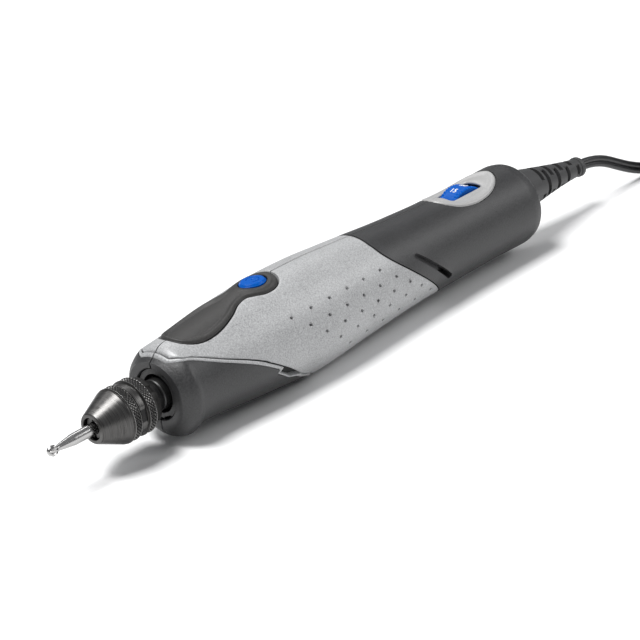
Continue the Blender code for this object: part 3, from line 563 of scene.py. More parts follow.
def make_plug():
    """The barrel plug: a grip with rings, and the barrel."""
    rings = [ring for z in (14.0, 17.0, 20.0)
             for ring in ((4.9, z), (4.5, z + 0.4), (4.5, z + 1.2), (4.9, z + 1.6))]
    body = ((0, 0), (2.3, 0), (2.5, 3.0), (3.1, 8.0), (4.6, 9.5), (4.9, 12.0), *rings,
            (4.9, 27.0), (4.4, 28.2), (0, 28.2))
    barrel = ((1.1, 28.5), (2.75, 28.5), (2.75, 37.6), (2.4, 38.0), (1.1, 38.0))
    made = []
    x, station, height = PLUG_BACK
    for name, profile, slot, closed, node in (
            ("plug_grip", body, "relief_rubber", False, "cord_plug"),
            ("plug_tip", barrel, "nickel", True, "plug_barrel")):
        profile = [(radius, station - along) for radius, along in profile]
        piece = turned(name, profile, 64, closed=closed)
        for vertex in piece.data.vertices:
            vertex.co.x += x * MM
            vertex.co.z += (height - AXIS_MM) * MM
        made.append(dress(piece, slot, "tool_body", node))
    return made


# ---- the skin
def skin_values(station):
    """Half width, top and bottom of the skin, on a smooth monotone curve through SKIN."""
    rate = np.diff(SKIN[:, 1:], axis=0) / np.diff(SKIN[:, :1], axis=0)
    left, right = rate[:-1], rate[1:]
    total = np.where(np.abs(left + right) < 1e-9, 1.0, left + right)
    inner = np.where(left * right <= 0, 0.0, 2 * left * right / total)
    slopes = np.vstack((rate[:1], inner, rate[-1:]))
    station = np.clip(station, SKIN[0, 0], SKIN[-1, 0])
    index = np.clip(np.searchsorted(SKIN[:, 0], station, side="right") - 1, 0, len(SKIN) - 2)
    span = SKIN[index + 1, 0] - SKIN[index, 0]
    t = ((station - SKIN[index, 0]) / span)[..., None]
    span = span[..., None]
    values = ((2 * t ** 3 - 3 * t ** 2 + 1) * SKIN[index, 1:]
              + (t ** 3 - 2 * t ** 2 + t) * span * slopes[index]
              + (3 * t ** 2 - 2 * t ** 3) * SKIN[index + 1, 1:]
              + (t ** 3 - t ** 2) * span * slopes[index + 1])
    return values[..., 0], values[..., 1], values[..., 2]


def skin_xyz(station, angle, lift=0.0):
    """x, station and height of points on the skin, raised by lift."""
    half, top, bottom = skin_values(station)
    x = (half + lift) * np.cos(angle)
    height = (np.where(np.sin(angle) > 0, top, bottom) + lift) * np.sin(angle)
    return x, station, np.maximum(height, -AXIS_MM - np.minimum(lift, 0))


def plan_to_angle(x, station):
    half = skin_values(station)[0]
    return np.arccos(np.clip(x / half, -1, 1))


def side_to_angle(station, height):
    _, top, bottom = skin_values(station)
    return np.arcsin(np.clip(height / np.where(height > 0, top, bottom), -1, 1))


def curve_through(points, samples=12):
    """A smooth curve through the points of a flat outline."""
    points = np.array(points, float)
    knots = np.vstack((2 * points[0] - points[1], points, 2 * points[-1] - points[-2]))
    t = np.linspace(0, 1, samples, endpoint=False)[:, None]
    parts = [0.5 * (2 * b + (c - a) * t + (2 * a - 5 * b + 4 * c - d) * t ** 2
                    + (3 * b - a - 3 * c + d) * t ** 3)
             for a, b, c, d in zip(knots, knots[1:], knots[2:], knots[3:])]
    return np.vstack(parts + [points[-1:]])


def closed_plan(outline):
    """The smooth closed loop of a plan outline given by its half widths."""
    curve = curve_through([(s, -h) for s, h in outline[3:0:-1]] + list(outline)
                          + [(s, -h) for s, h in outline[-2:-5:-1]])
    keep = curve[curve[:, 1] >= -1e-6]
    keep[:, 1] = np.maximum(keep[:, 1], 0)
    return np.vstack((keep, (keep * (1, -1))[::-1]))


def distance_to(loop, points):
    """Distance inwards (negative outside) from points to a closed loop, and the nearest point."""
    start, stop = loop, np.roll(loop, -1, axis=0)
    keep = np.linalg.norm(stop - start, axis=1) > 1e-9
    start, stop = start[keep], stop[keep]
    flat = points.reshape(-1, 2)
    best = np.full(len(flat), 1e9)
    nearest = np.zeros_like(flat)
    inside = np.zeros(len(flat), bool)
    for a, b in zip(start, stop):
        edge = b - a
        t = np.clip(((flat - a) @ edge) / (edge @ edge), 0, 1)
        foot = a + t[:, None] * edge
        gap = np.linalg.norm(flat - foot, axis=1)
        closer = gap < best
        best[closer] = gap[closer]
        nearest[closer] = foot[closer]
        crosses = (a[1] > flat[:, 1]) != (b[1] > flat[:, 1])
        if a[1] != b[1]:
            at = a[0] + (flat[:, 1] - a[1]) / (b[1] - a[1]) * edge[0]
            inside ^= crosses & (flat[:, 0] < at)
    signed = np.where(inside, best, -best)
    return signed.reshape(points.shape[:-1]), nearest.reshape(points.shape)


def snap(station, other, loop, level, reach):
    """Moves points of a grid, in plan or side view, that lie near the line at a level inside (or
    outside) a loop onto that line: stations, x or heights, and distances inwards."""
    flat = np.stack((station, other), axis=-1)
    signed, nearest = distance_to(loop, flat)
    off = signed - level
    away = flat - nearest
    size = np.maximum(np.linalg.norm(away, axis=-1), 1e-9)
    inward = away / size[..., None] * np.sign(signed)[..., None]
    near = (np.abs(off) < reach) & (size > 1e-6)
    moved = np.where(near[..., None], flat - inward * off[..., None], flat)
    return moved[..., 0], moved[..., 1], np.where(near, level, signed)


def cover_edges(angle):
    """Stations of a cover's front and rear edge for each angle round the skin."""
    stations = np.linspace(NOSE_FACE, 170, 3000)
    edges = []
    for outline in (COVER_FRONT, COVER_REAR):
        path = curve_through(outline, 16)
        order = np.argsort(path[:, 0])
        height = np.interp(stations, path[order, 0], path[order, 1], left=30, right=-30)
        found = []
        for value in angle:
            gap = height - skin_xyz(stations, value)[2]
            at = np.nonzero(gap <= 0)[0][0]
            share = gap[at - 1] / (gap[at - 1] - gap[at]) if gap[at - 1] < 25 else 1.0
            found.append(stations[at - 1] + share * (stations[at] - stations[at - 1]))
        edges.append(np.maximum(np.array(found), outline[0][0]))
    return edges


PAD_LOOP = closed_plan(PAD_OUTLINE)
BEZEL_LOOP = closed_plan(BEZEL_OUTLINE)


def button_loop(grow=0.0, steps=40):
    """The lock button's outline, an oval that narrows towards its front."""
    angle = math.pi * np.arange(2 * steps) / steps
    along = -(BUTTON_HALF_LENGTH + grow) * np.cos(angle)
    narrow = np.where(along < 0, 0.72, 1.0)
    half = ((BUTTON_HALF_WIDTH + grow) * np.sin(angle)
            * (narrow + (1 - narrow) * np.abs(np.sin(angle))))
    return np.column_stack((LOCK_STATION + along, half))


def over_button(points, faces, grow):
    """The faces that lie over the lock button, so that they can be left out."""
    centres = points.reshape(-1, 3)[faces].mean(axis=1)
    along = ((centres[:, 1] - FRONT) / MM - LOCK_STATION) / (BUTTON_HALF_LENGTH + grow)
    across = centres[:, 0] / MM / (BUTTON_HALF_WIDTH + grow)
    return (along ** 2 + across ** 2 < 1) & (centres[:, 2] > AXIS)


def seam_angles():
    """The angles of the top seam and the bottom seam of the left half."""
    edge = math.asin(SEAM / 2 / float(skin_values(np.array(90.0))[0]))
    return math.pi / 2 - edge, -math.pi / 2 + edge


def seam_safe(x):
    """Keeps a half on its own side of the seam."""
    return np.maximum(x, SEAM / 2)


VENT_LENGTH = float(np.linalg.norm(VENT_ENDS[1] - VENT_ENDS[0]))
VENT_ALONG = (VENT_ENDS[1] - VENT_ENDS[0]) / VENT_LENGTH
VENT_ACROSS = np.array((-VENT_ALONG[1], VENT_ALONG[0]))


def vent_fields(station, height):
    """How far along (0 to 1) and across (in mm) the slanted air slot points lie."""
    offset = np.stack((station, height), axis=-1) - VENT_ENDS[0]
    return offset @ VENT_ALONG / VENT_LENGTH, offset @ VENT_ACROSS


def vent_loop():
    angle = np.linspace(0.5 * math.pi, 1.5 * math.pi, 12)[:, None]
    cap = VENT_HALF_WIDTH * (np.cos(angle) * VENT_ALONG + np.sin(angle) * VENT_ACROSS)
    return np.vstack((VENT_ENDS[0] + cap, VENT_ENDS[1] - cap))


VENT_LOOP = vent_loop()


def circle_loop(centre, radius, steps=28):
    angle = np.linspace(0, math.tau, steps, endpoint=False)
    return np.column_stack((centre[0] + radius * np.cos(angle),
                            centre[1] + radius * np.sin(angle)))


def hook_dip(angle):
    """How far the covers' rim dips forward for each angle, in mm along the station."""
    return np.interp(-np.degrees(angle), (15.0, 19.5, 33.5, 39.0), (0.0, 2.3, 2.0, 0.0))


def make_housing(side):
    """A half of the dark housing: its nose, a sunken middle under the cover, and its rear."""
    name = "housing_left" if side > 0 else "housing_right"
    top, bottom = seam_angles()
    upper = np.linspace(top, COVER_BOTTOM + 0.004, 118)
    lower = np.linspace(COVER_BOTTOM, bottom, 18)
    angle = np.concatenate((upper, lower))
    covered = np.arange(len(angle)) < len(upper)
    front, rear = cover_edges(upper)
    front = front - hook_dip(upper)
    front, rear = (np.append(edge, np.full(len(lower), edge[-1]))[:, None]
                   for edge in (front, rear))
    ease = 1 - np.cos(np.linspace(0, math.pi / 2, 90))
    nose = NOSE_FACE + (front - COVER_GAPS[0] - NOSE_FACE) * ease
    middle = front + (rear - front) * np.linspace(0.004, 0.996, 30)
    tail_t = np.append(np.linspace(0, 0.9, 140),
                       0.9 + 0.1 * np.sin(np.linspace(0, math.pi / 2, 36)[1:]))
    tail = rear + COVER_GAPS[1] + (BODY_END - rear - COVER_GAPS[1]) * tail_t
    station = np.hstack((nose, middle, tail))
    sunken = np.where(covered[:, None], -SEAT_DEPTH, 0.0) * np.ones_like(middle)
    lift = np.hstack((np.zeros_like(nose), sunken, np.zeros_like(tail)))
    turn = np.repeat(angle[:, None], station.shape[1], axis=1)
    tail_zone = np.zeros(station.shape, bool)
    tail_zone[:, nose.shape[1] + middle.shape[1]:] = True

    # the bezel's seat
    x, _, height = skin_xyz(station, turn)
    new_station, new_x, signed = snap(station, x, BEZEL_LOOP, -0.2, 0.16)
    use = tail_zone & (height > 0)
    station = np.where(use, new_station, station)
    turn = np.where(use, np.minimum(plan_to_angle(new_x, station), top), turn)
    seat = use & (signed > -0.2 + 1e-6)
    lift = np.where(seat, -SEAT_DEPTH, lift)

    # the air slot, shallow at its upper end and a deep pit at its lower end, painted with shade
    height = skin_xyz(station, turn)[2]
    new_station, new_height, signed = snap(station, height, VENT_LOOP, 0.0, 0.16)
    near = tail_zone & (signed > -0.5) & (np.abs(turn) < 1.2)
    station = np.where(near, new_station, station)
    turn = np.where(near, side_to_angle(station, new_height), turn)
    along, across = vent_fields(station, new_height)
    slot = near & (signed > 1e-6)
    lean = np.clip(0.5 + across / (2 * VENT_HALF_WIDTH), 0, 1)
    lift = np.where(slot, -(0.75 + 0.5 * along) * (0.7 + 0.5 * lean), lift)
    pit = slot & (along > PIT_START)
    lift = np.where(pit, -PIT_DEPTH, lift)
    # the skin swells a little above it
    swell = 0.27 * np.exp(-np.maximum(across - VENT_HALF_WIDTH, 0) / 2.4) * (across > 0) * (
        smoothstep(along, -0.1, 0.25) * (1 - smoothstep(along, 0.75, 1.1)))
    lift = np.where(tail_zone & ~slot & ~seat, lift + swell, lift)

    # screw wells, on the right flank only
    if side < 0:
        height = skin_xyz(station, turn)[2]
        for hole in SCREW_HOLES:
            new_station, new_height, signed = snap(
                station, height, circle_loop(hole, SCREW_WELL_RADIUS), 0.0, 0.15)
            near = (signed > -0.3) & (turn < 0.4) & ~(lift < -1.5)
            station = np.where(near, new_station, station)
            turn = np.where(near, side_to_angle(station, new_height), turn)
            height = np.where(near, new_height, height)
            lift = np.where(near & (signed > 1e-6),
                            SCREW_WELL_FLOOR - skin_xyz(station, turn)[0], lift)
    x, _, height = skin_xyz(station, turn, lift)
    if side < 0:
        rear_well = np.abs(height - SCREW_HOLES[-1][1]) < 3
        x = np.where((lift < -3.2) & (~tail_zone | rear_well), SCREW_WELL_FLOOR, x)

    # the ends turn in: the nose to its mouth, the rear to the strain relief's hole
    def ring(radius, at, centre=0.0):
        return world(seam_safe(radius * np.cos(angle)), np.full(len(angle), at),
                     centre + radius * np.sin(angle))
    mouth = [ring(6.9, 30.0), ring(7.05, 24.0), ring(7.15, 22.6), ring(7.35, 22.35),
             ring(8.3, 22.3)]
    exit_hole = [ring(7.2, 168.8, 1.2), ring(6.1, 168.8, RELIEF_HEIGHT),
                 ring(5.85, 168.5, RELIEF_HEIGHT), ring(5.85, 166.0, RELIEF_HEIGHT)]
    points = np.concatenate((np.stack(mouth, axis=1), world(seam_safe(x), station, height),
                             np.stack(exit_hole, axis=1)), axis=1)
    points[..., 0] *= side
    faces = grid_faces(*points.shape[:2])
    # the pit's faces get the second finish: painted shade
    padded = np.pad(pit, ((0, 0), (len(mouth), len(exit_hole))))
    groups = padded.reshape(-1)[faces].any(axis=1).astype(int)

    # the openings for the dial and the lock button
    centres = points.reshape(-1, 3)[faces].mean(axis=1)
    at_x, at_station = np.abs(centres[:, 0]) / MM, (centres[:, 1] - FRONT) / MM
    opening = ((at_x < WINDOW[2]) & (at_station > WINDOW[0] - 0.6)
               & (at_station < WINDOW[1] + 0.6) & (centres[:, 2] > AXIS))
    opening |= over_button(points, faces, 2.2)
    thing = mesh_object(name + "_shell", points, faces[~opening], groups[~opening],
                        outward=away_from_axis)
    thicken(thing, 0.9)
    return dress(thing, "dark_plastic", "tool_body", name, extra=("painted_gap_shade",))


# a cover's front edge in section: distance from the edge, lift; a rolled rim, a groove, a lip
RIM = np.array(((0.0, -1.2), (0.0, -0.3), (0.06, -0.1), (0.16, 0.03), (0.32, 0.12), (0.55, 0.15),
                (0.78, 0.12), (0.9, 0.02), (0.95, -0.12), (0.97, -0.75))).T
LIP = np.array(((1.30, -0.75), (1.32, -0.28), (1.36, -0.14), (1.46, -0.05), (1.62, -0.01),
                (1.85, 0.0))).T
REAR_EDGE = np.array(((0.55, 0.0), (0.36, -0.02), (0.2, -0.08), (0.09, -0.18), (0.02, -0.34),
                      (0.0, -0.5), (0.0, -1.2))).T
LOWER_EDGE = np.array(((0.022, 0.0), (0.015, -0.01), (0.009, -0.04), (0.004, -0.12), (0.0, -0.3),
                       (0.0, -1.2))).T


def make_cover(side):
    """A silver cover with a rolled front rim, dimples, and a seat for the thumb pad."""
    name = "cover_left" if side > 0 else "cover_right"
    top = seam_angles()[0]
    angle = np.append(np.linspace(top, COVER_BOTTOM + 0.03, 200), COVER_BOTTOM + LOWER_EDGE[0])
    front, rear = cover_edges(angle)
    dip = hook_dip(angle)
    hooked = np.minimum(dip / 0.6, 1)[:, None]
    arc = np.append(0.0, np.cumsum(np.abs(np.diff(angle)) * 14.5))
    arc = arc + np.arange(len(arc)) * 1e-6

    def square_to(edge):
        """How much longer a distance square to a slanted edge is along the station."""
        return np.sqrt(1 + np.clip(np.gradient(edge, arc), -3, 3) ** 2)[:, None]
    start = (front - dip)[:, None] + RIM[0] * square_to(front - dip) * (1 - 0.4 * hooked)
    inner = front[:, None] + LIP[0] * square_to(front)
    outer = rear[:, None] - 0.15 - REAR_EDGE[0] * square_to(rear)
    t = np.linspace(0, 1, 340)[1:-1]
    field = inner[:, -1:] + (outer[:, :1] - inner[:, -1:]) * t
    station = np.hstack((start, inner, field, outer))
    lift = np.concatenate((RIM[1], LIP[1], np.zeros(len(t)), REAR_EDGE[1]))
    lift = np.repeat(lift[None, :], len(angle), axis=0)
    groove = len(RIM[0]) - 1
    lift[:, groove:groove + 2] -= 0.6 * hooked
    turn = np.repeat(angle[:, None], station.shape[1], axis=1)
    body = np.zeros(station.shape, bool)
    body[:, groove + 3:-len(REAR_EDGE[0])] = True

    # dimples in slanted rows
    radius = skin_values(station)[0]
    pits = np.zeros(station.shape, bool)
    for row, degrees in enumerate(DIMPLE_ROWS):
        at = math.radians(degrees)
        for column in range(DIMPLE_COUNT):
            centre = DIMPLE_START + DIMPLE_SLANT * row + DIMPLE_PITCH * column
            du, da = station - centre, (turn - at) * radius
            away = np.hypot(du, da)
            close = body & (np.abs(away - DIMPLE_RADIUS) < 0.12) & (away > 1e-6)
            scale = np.where(close, DIMPLE_RADIUS / np.maximum(away, 1e-6), 1.0)
            station = np.where(close, centre + du * scale, station)
            turn = np.where(close, at + da * scale / radius, turn)
            away = np.where(close, DIMPLE_RADIUS, away)
            hollow = body & (away < DIMPLE_RADIUS - 1e-6)
            pits |= hollow
            bowl = np.sqrt(np.maximum(0, 1 - (away / DIMPLE_RADIUS) ** 2))
            lift = np.where(hollow, lift - DIMPLE_EDGE_DEPTH - DIMPLE_BOWL_DEPTH * bowl, lift)

    # the seat of the thumb pad
    x, _, height = skin_xyz(station, turn)
    new_station, new_x, signed = snap(station, x, PAD_LOOP, -PAD_GAP, 0.15)
    use = (height > 4) & body
    station = np.where(use, new_station, station)
    turn = np.where(use, np.minimum(plan_to_angle(new_x, station), top), turn)
    inside = signed > -PAD_GAP + 1e-6
    soften = use & (signed < -PAD_GAP + 1e-6)
    lift = np.where(soften, lift - 0.12 * np.exp((signed + PAD_GAP) / 0.15), lift)
    lift = np.where(use & inside, -PAD_SEAT_DEPTH, lift)

    lower = lift[1 - len(LOWER_EDGE[1]):]
    lower[:] = np.minimum(lower, LOWER_EDGE[1][1:, None])
    x, _, height = skin_xyz(station, turn, lift)
    points = world(seam_safe(x) * side, station, height)
    faces = grid_faces(*points.shape[:2])
    # painted shade: the rim's groove gets the second finish and the faces inside the dimples the
    # third
    in_groove = np.arange(len(faces)) % (points.shape[1] - 1) == groove
    groups = np.where(in_groove, 1, np.where(pits.reshape(-1)[faces].all(axis=1), 2, 0))
    kept = ~over_button(points, faces, 0.8)
    thing = mesh_object(name + "_shell", points, faces[kept], groups[kept],
                        outward=away_from_axis)
    thicken(thing, 0.4)
    return dress(thing, "silver_plastic", "tool_body", name, extra=("painted_gap_shade", "silver_painted_shade"))


def plan_patch(loop, along, across):
    """Stations and x of a grid that fills a plan outline, denser towards its edge."""
    half = len(loop) // 2
    stations, halves = loop[:half, 0], loop[:half, 1]
    order = np.argsort(stations)
    stations, halves = stations[order], halves[order]
    t = 0.5 - 0.5 * np.cos(np.linspace(0, math.pi, along))
    station = stations[0] + (stations[-1] - stations[0]) * t
    width = np.interp(station, stations, halves)
    width[0] = width[-1] = 0.0
    s = np.sin(np.linspace(-math.pi / 2, math.pi / 2, across))
    return (np.repeat(station[:, None], across, axis=1), width[:, None] * s[None, :])


def plan_piece(name, loop, grid, hole_loop, reach, lift, slot, node):
    """A piece of skin inside a plan outline with a hole; lift(station, depth, well) raises it,
    from the distances in from its outline and in from the hole's."""
    station, x = plan_patch(loop, *grid)
    depth = np.maximum(distance_to(loop, np.stack((station, x), axis=-1))[0], 0)
    station, x, well = snap(station, x, hole_loop, 0.0, reach)
    x, _, height = skin_xyz(station, plan_to_angle(x, station), lift(station, depth, well))
    points = world(x, station, height)
    faces = grid_faces(*points.shape[:2])
    hole = (well > 1e-6).reshape(-1)[faces].any(axis=1)
    thing = mesh_object(name, points, faces[~hole], outward=upwards)
    thicken(thing, 1.0)
    return dress(thing, slot, "tool_body", node)


def pad_lift(station, depth, well):
    rim = 0.2 - 0.5 * (1 - smoothstep(depth, 0, 0.7)) ** 2
    scoop = -0.95 * smoothstep(depth, 0.75, 2.2) * (1 - smoothstep(station, 49, 57))
    ring = 0.16 * np.exp(-((well + 0.9) / 0.5) ** 2) * smoothstep(station, 53, 57)
    return rim + scoop + ring


def bezel_lift(station, depth, well):
    rim = 0.12 - 0.3 * (1 - smoothstep(depth, 0, 0.4))
    dish = -0.75 * smoothstep(depth, 0.7, 2.4)
    chamfer = -0.7 * np.exp(well / 0.5) * (well < 1e-6)
    return rim + dish + chamfer


def make_button():
    """A domed oval button with a shallow ring and dot pressed into it."""
    loop = button_loop(0.0, 60)
    centre = np.array((LOCK_STATION, 0.0))
    t = np.concatenate(((0.0,), np.linspace(0.04, 0.8, 46), np.linspace(0.82, 1.0, 12), (1.0,)))
    flat = centre + (loop - centre)[:, None, :] * t[None, :, None]
    inward = (1 - t)[None, :] * np.linalg.norm(loop - centre, axis=1)[:, None]
    dome = BUTTON_TOP - 0.10 * (t ** 2)[None, :] - 0.62 * (1 - smoothstep(inward, 0, 0.9)) ** 2
    along, across = flat[..., 0] - LOCK_STATION - 0.3, flat[..., 1]
    away, bearing = np.hypot(along, across), np.arctan2(across, along)
    open_ring = np.exp(-((away - EMBLEM_RING) / 0.16) ** 4) * (np.abs(bearing) < 2.5)
    dot = np.exp(-(away / EMBLEM_DOT) ** 4)
    dome = dome - EMBLEM_DEPTH * np.maximum(open_ring, dot)
    dome[:, -1] = BUTTON_BASE
    points = world(flat[..., 1], flat[..., 0], dome)
    faces = grid_faces(*points.shape[:2], close_rows=True)
    thing = mesh_object("spindle_lock_button", points, faces,
                        outward=upwards, crease=50)
    shape = bmesh.new()
    shape.from_mesh(thing.data)
    rim = [edge for edge in shape.edges if edge.is_boundary]
    bmesh.ops.edgeloop_fill(shape, edges=rim)
    bmesh.ops.recalc_face_normals(shape, faces=shape.faces)
    shape.to_mesh(thing.data)
    shape.free()
    return dress(thing, "blue_plastic", "lock_button", "lock_button")


def window_loop(grow):
    """The dial window's outline, with round corners."""
    corner = 1.3 + grow
    first, last = WINDOW[0] - grow + corner, WINDOW[1] + grow - corner
    half = WINDOW[2] + grow - corner
    points = []
    for quarter, (u, v) in enumerate(((last, half), (first, half), (first, -half), (last, -half))):
        for step in range(7):
            angle = math.radians(90 * quarter + 15 * step)
            points.append((u + corner * math.cos(angle), v + corner * math.sin(angle)))
    return np.array(points)


# ---- the dial
DIAL_RIDGES = 48
DIAL_LABELS = ("5", "10", "15", "20", "25", "30")


def make_dial():
    """A thumbwheel with ridges at both rims and raised numbers between them."""
    half = DIAL_WIDTH / 2
    across = np.array((-half, -half + 0.35, *np.linspace(-half + 0.5, half - 0.5, 33),
                       half - 0.35, half))[None, :]
    angle = np.linspace(0, math.tau, DIAL_RIDGES * 8, endpoint=False)[:, None]
    band = np.abs(across) > 1.9
    ridge = 0.22 * (0.5 - 0.5 * np.cos(angle * DIAL_RIDGES)) * band
    radius = DIAL_RADIUS - 0.35 * (np.abs(across) >= half - 1e-6) - ridge - 0.14 * ~band
    wall = np.pad(radius, ((0, 0), (1, 1)), constant_values=1.5)
    side = np.pad(np.broadcast_to(across, radius.shape), ((0, 0), (1, 1)), mode="edge")
    points = world(side, DIAL_STATION + wall * np.cos(angle), DIAL_HEIGHT + wall * np.sin(angle))
    faces = grid_faces(*points.shape[:2], close_rows=True, close_columns=True)
    wheel = mesh_object("speed_wheel", points, faces, crease=45)
    dress(wheel, "blue_plastic", "dial", "speed_dial")
    for number, label in enumerate(DIAL_LABELS):
        make_number(label, math.radians(105 - 32 * (number - 2)))


def make_number(label, turn):
    """Raised figures bent round the dial, at an angle on its rim."""
    name = "dial_number_" + label
    curve = bpy.data.curves.new(name, "FONT")
    curve.body, curve.size, curve.extrude = label, 2.5 * MM, 0.09 * MM
    curve.align_x, curve.align_y = "CENTER", "CENTER"
    text = add_object(name, curve)
    bpy.context.view_layer.update()
    data = bpy.data.meshes.new_from_object(
        text.evaluated_get(bpy.context.evaluated_depsgraph_get()))
    bpy.data.objects.remove(text, do_unlink=True)
    bpy.data.curves.remove(curve)
    data.name = name
    shape = bmesh.new()
    shape.from_mesh(data)
    bmesh.ops.remove_doubles(shape, verts=shape.verts, dist=1e-7)
    lift = DIAL_RADIUS - 0.10
    for vertex in shape.verts:
        at = turn - vertex.co.y / (lift * MM)
        reach = lift + vertex.co.z / MM
        vertex.co = place(vertex.co.x / MM, DIAL_STATION + reach * math.cos(at),
                          DIAL_HEIGHT + reach * math.sin(at))
    bmesh.ops.recalc_face_normals(shape, faces=shape.faces)
    shape.to_mesh(data)
    shape.free()
    piece = add_object(name, data)
    data.materials.clear()
    data.materials.append(FINISHES["dial_white"])
    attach(piece, "dial")


# ---- burr, chuck and spindle
def make_burr():
    """A ball cutter with twisted flutes, a tapered neck and a ground shank."""
    ball, tip = 1.5, -14.6
    neck = 0.85
    centre = tip + ball
    last = math.pi - math.asin(neck / ball)
    profile = [(ball * math.sin(last * i / 40), centre - ball * math.cos(last * i / 40))
               for i in range(41)]
    profile += [(neck, -11.2), (0.95, -10.6), (SHANK_RADIUS - 0.05, -6.6), (SHANK_RADIUS, -6.3),
                (SHANK_RADIUS, 11.0), (0, 11.0)]

    def flutes(radius, station, angle):
        on_ball = station < centre + ball * 0.72
        along = np.clip((station - tip) / (2 * ball), 0, 1)
        wave = (angle * 8 / math.tau + along * 0.8) % 1.0
        depth = 0.42 * np.sin(along * math.pi) ** 0.5
        cut = np.where(wave < 0.78, wave / 0.78, (1 - wave) / 0.22)
        fade = (radius / ball) ** 0.3 * np.minimum(1, radius / 0.6)
        return np.where(on_ball & (radius > 0.05), radius - depth * (1 - cut) * fade, radius)
    burr = turned("burr", profile, 160, ease=0, shape=flutes)
    return dress(burr, "bright_steel", "spindle_assembly", "ball_burr")


SLEEVE_SLOPE = 0.3056       # of the cone that the jaws slide in
SLEEVE_BAND, BODY_BAND = (8.2, 10.3), (13.3, 15.5)      # the knurls' stations
FLATS_BAND, FLATS_HALF_WIDTH = (10.93, 12.69), 6.75


def chuck_piece(name, profile, shape, body, node):
    # the knurls' valleys get painted shade and their crests a painted highlight
    piece = turned(name, profile, 744, closed=True, ease=0.05, crested=True, deep=0.22,
                   shape=shape)
    dress(piece, "black_oxide", body, node, extra=("painted_gap_shade", "crest_painted_highlight"))


def make_chuck():
    """The sleeve, the body with its two flats and four rear notches, and the shaft."""
    first, last = SLEEVE_BAND
    profile = [(3.1, 0.0), (3.95, 0.0), (4.22, 0.3), (7.3, 7.2), (7.45, 7.5), (7.2, 7.7),
               (7.2, 8.0), (CHUCK_RADIUS, first), (CHUCK_RADIUS, last), (7.3, 10.6),
               (5.6, 10.6), (5.6, 8.2), (3.1 + SLEEVE_SLOPE * 7.2, 7.9), (3.1, 0.7)]
    chuck_piece("keyless_sleeve", profile, lambda r, u, a: knurl(r, u, a, SLEEVE_BAND),
                "sleeve", "chuck_sleeve")
    first, last = BODY_BAND
    profile = [(2.1, 9.6), (5.2, 9.6), (5.2, 10.9), (7.2, 10.9), (7.2, 12.7), (6.9, 12.9),
               (6.9, 13.1), (CHUCK_RADIUS, first), (CHUCK_RADIUS, last), (7.2, 15.9),
               (6.6, 18.0), (3.4, 18.0), (3.4, 12.6), (2.1, 12.2)]

    def flats(radius, station, angle):
        radius = knurl(radius, station, angle, BODY_BAND)
        flat = FLATS_HALF_WIDTH / np.maximum(np.abs(np.cos(angle)), 1e-3)
        on_band = (station > FLATS_BAND[0]) & (station < FLATS_BAND[1]) & (radius > 6.0)
        radius = np.where(on_band, np.minimum(radius, flat), radius)
        notch = (np.abs((angle % (math.tau / 4)) - math.tau / 8) < 0.16) & (station > 15.95)
        return np.where(notch & (radius > 6.0), radius - 0.55, radius)
    chuck_piece("keyless_body", profile, flats, "spindle_assembly", "chuck_body")
    neck = ((0, 12.9), (3.1, 12.9), (3.1, 18.3), (4.4, 18.3), (4.4, 20.8), (4.2, 21.0),
            (4.2, 21.6), (4.4, 21.8), (4.4, 26.4), (2.6, 26.4), (2.6, 64.6), (0, 64.6))
    # the shaft's steel finish is darkened: painted shade
    dress(turned("spindle_shaft", neck, 96), "bearing_steel", "spindle_assembly", "spindle")


def make_nose_ring():
    def notches(radius, station, angle):
        # three notches in the ring's front edge
        cut = np.zeros_like(radius, dtype=bool)
        for number in range(3):
            at = math.radians(50 - 120 * number) % math.tau
            cut |= np.abs((angle - at + math.pi) % math.tau - math.pi) < 0.18
        return np.where(cut & (station < 24.0), np.maximum(radius - 0.5, 5.4), radius)
    profile = ((5.4, 23.0), (6.9, 23.0), (6.9, 24.1), (6.9, 26.4), (5.4, 26.4))
    ring = turned("nose_insert", profile, 144, closed=True, shape=notches)
    dress(ring, "dark_plastic", "tool_body", "nose_ring")


# ---- strain relief
RELIEF_TIP = RELIEF_END - 1.7           # where its end collar starts
SLOT_START, SLOT_PITCH, SLOT_WIDTH, SLOT_COUNT = 176.7, 2.75, 1.7, 8
SLOT_CORE = 2.1                         # half thickness left between two slots
DROOP_START = 170.0


def boot_radius(station):
    t = np.clip((station - RELIEF_ROOT) / (RELIEF_TIP - RELIEF_ROOT), 0, 1)
    return 2.75 + 4.1 * (1 - t) ** 1.25


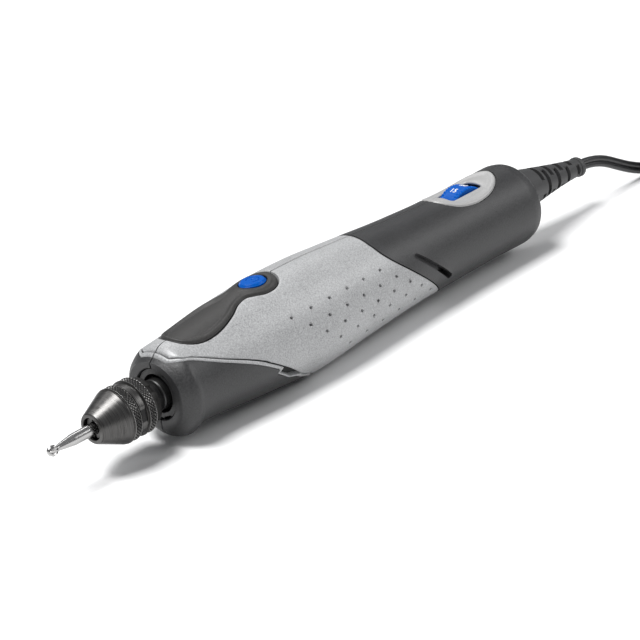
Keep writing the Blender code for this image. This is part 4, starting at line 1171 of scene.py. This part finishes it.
def make_relief():
    """A tapered boot with staggered slots, which droops towards its tip."""
    slots = [(SLOT_START + SLOT_PITCH * n, SLOT_START + SLOT_PITCH * n + SLOT_WIDTH, n % 2)
             for n in range(SLOT_COUNT)]
    stations = [RELIEF_ROOT]
    for first, last, _ in slots:
        stations += list(np.linspace(stations[-1], first, 7)[1:])
        stations += [first + 0.02, first + 0.05, (first + last) / 2, last - 0.05, last - 0.02, last]
    stations += list(np.linspace(stations[-1], RELIEF_TIP, 4)[1:])
    profile = [(0, 164.6), (6.6, 164.6), (6.6, 166.9), (5.6, 166.9), (5.6, 168.8)]
    profile += [(float(boot_radius(u)), float(u)) for u in stations]
    profile += [(3.0, RELIEF_TIP + 0.1), (3.1, RELIEF_TIP + 0.3), (3.1, RELIEF_END - 0.5),
                (2.9, RELIEF_END - 0.1), (2.6, RELIEF_END), (0, RELIEF_END)]

    def cut(radius, station, angle):
        for first, last, sideways in slots:
            inside = (station > first + 0.01) & (station < last - 0.01) & (radius > 2.2)
            across = np.abs(np.cos(angle) if sideways else np.sin(angle))
            radius = np.where(inside, np.minimum(radius, SLOT_CORE / np.maximum(across, 0.35)),
                              radius)
        return radius
    # the faces deep in the slots get painted shade
    relief = turned("cord_boot", profile, 144, height=RELIEF_HEIGHT, ease=0, shape=cut, deep=0.3)
    reach = (RELIEF_END - DROOP_START) * MM
    for vertex in relief.data.vertices:
        along = max(0.0, vertex.co.y - (FRONT + DROOP_START * MM)) / reach
        vertex.co.z -= RELIEF_FALL * MM * along ** 1.2
    return dress(relief, "relief_rubber", "tool_body", "strain_relief", extra=("painted_gap_shade",))


# ---- making
make_camera()
lead, lead_path = make_lead()
tie = make_cord_tie()
plug = make_plug()
place(0, RELIEF_END, 13.85 - AXIS_MM)
make_stage()

for subpart in frame["record"]["subparts"]:
    node = frame["nodes"][subpart["node"]]
    node.data.materials.clear()
    node.data.materials.append(FINISHES[subpart["material_slot"]])

for side in (1, -1):
    make_housing(side)
    make_cover(side)
plan_piece("thumb_rest", PAD_LOOP, (210, 84), button_loop(0.3), 0.1, pad_lift,
           "pad_rubber", "thumb_pad")
make_button()
plan_piece("dial_surround", BEZEL_LOOP, (170, 76), window_loop(-0.25), 0.13, bezel_lift,
           "bezel_plastic", "dial_bezel")
make_dial()
make_burr()
make_chuck()
make_nose_ring()
make_relief()
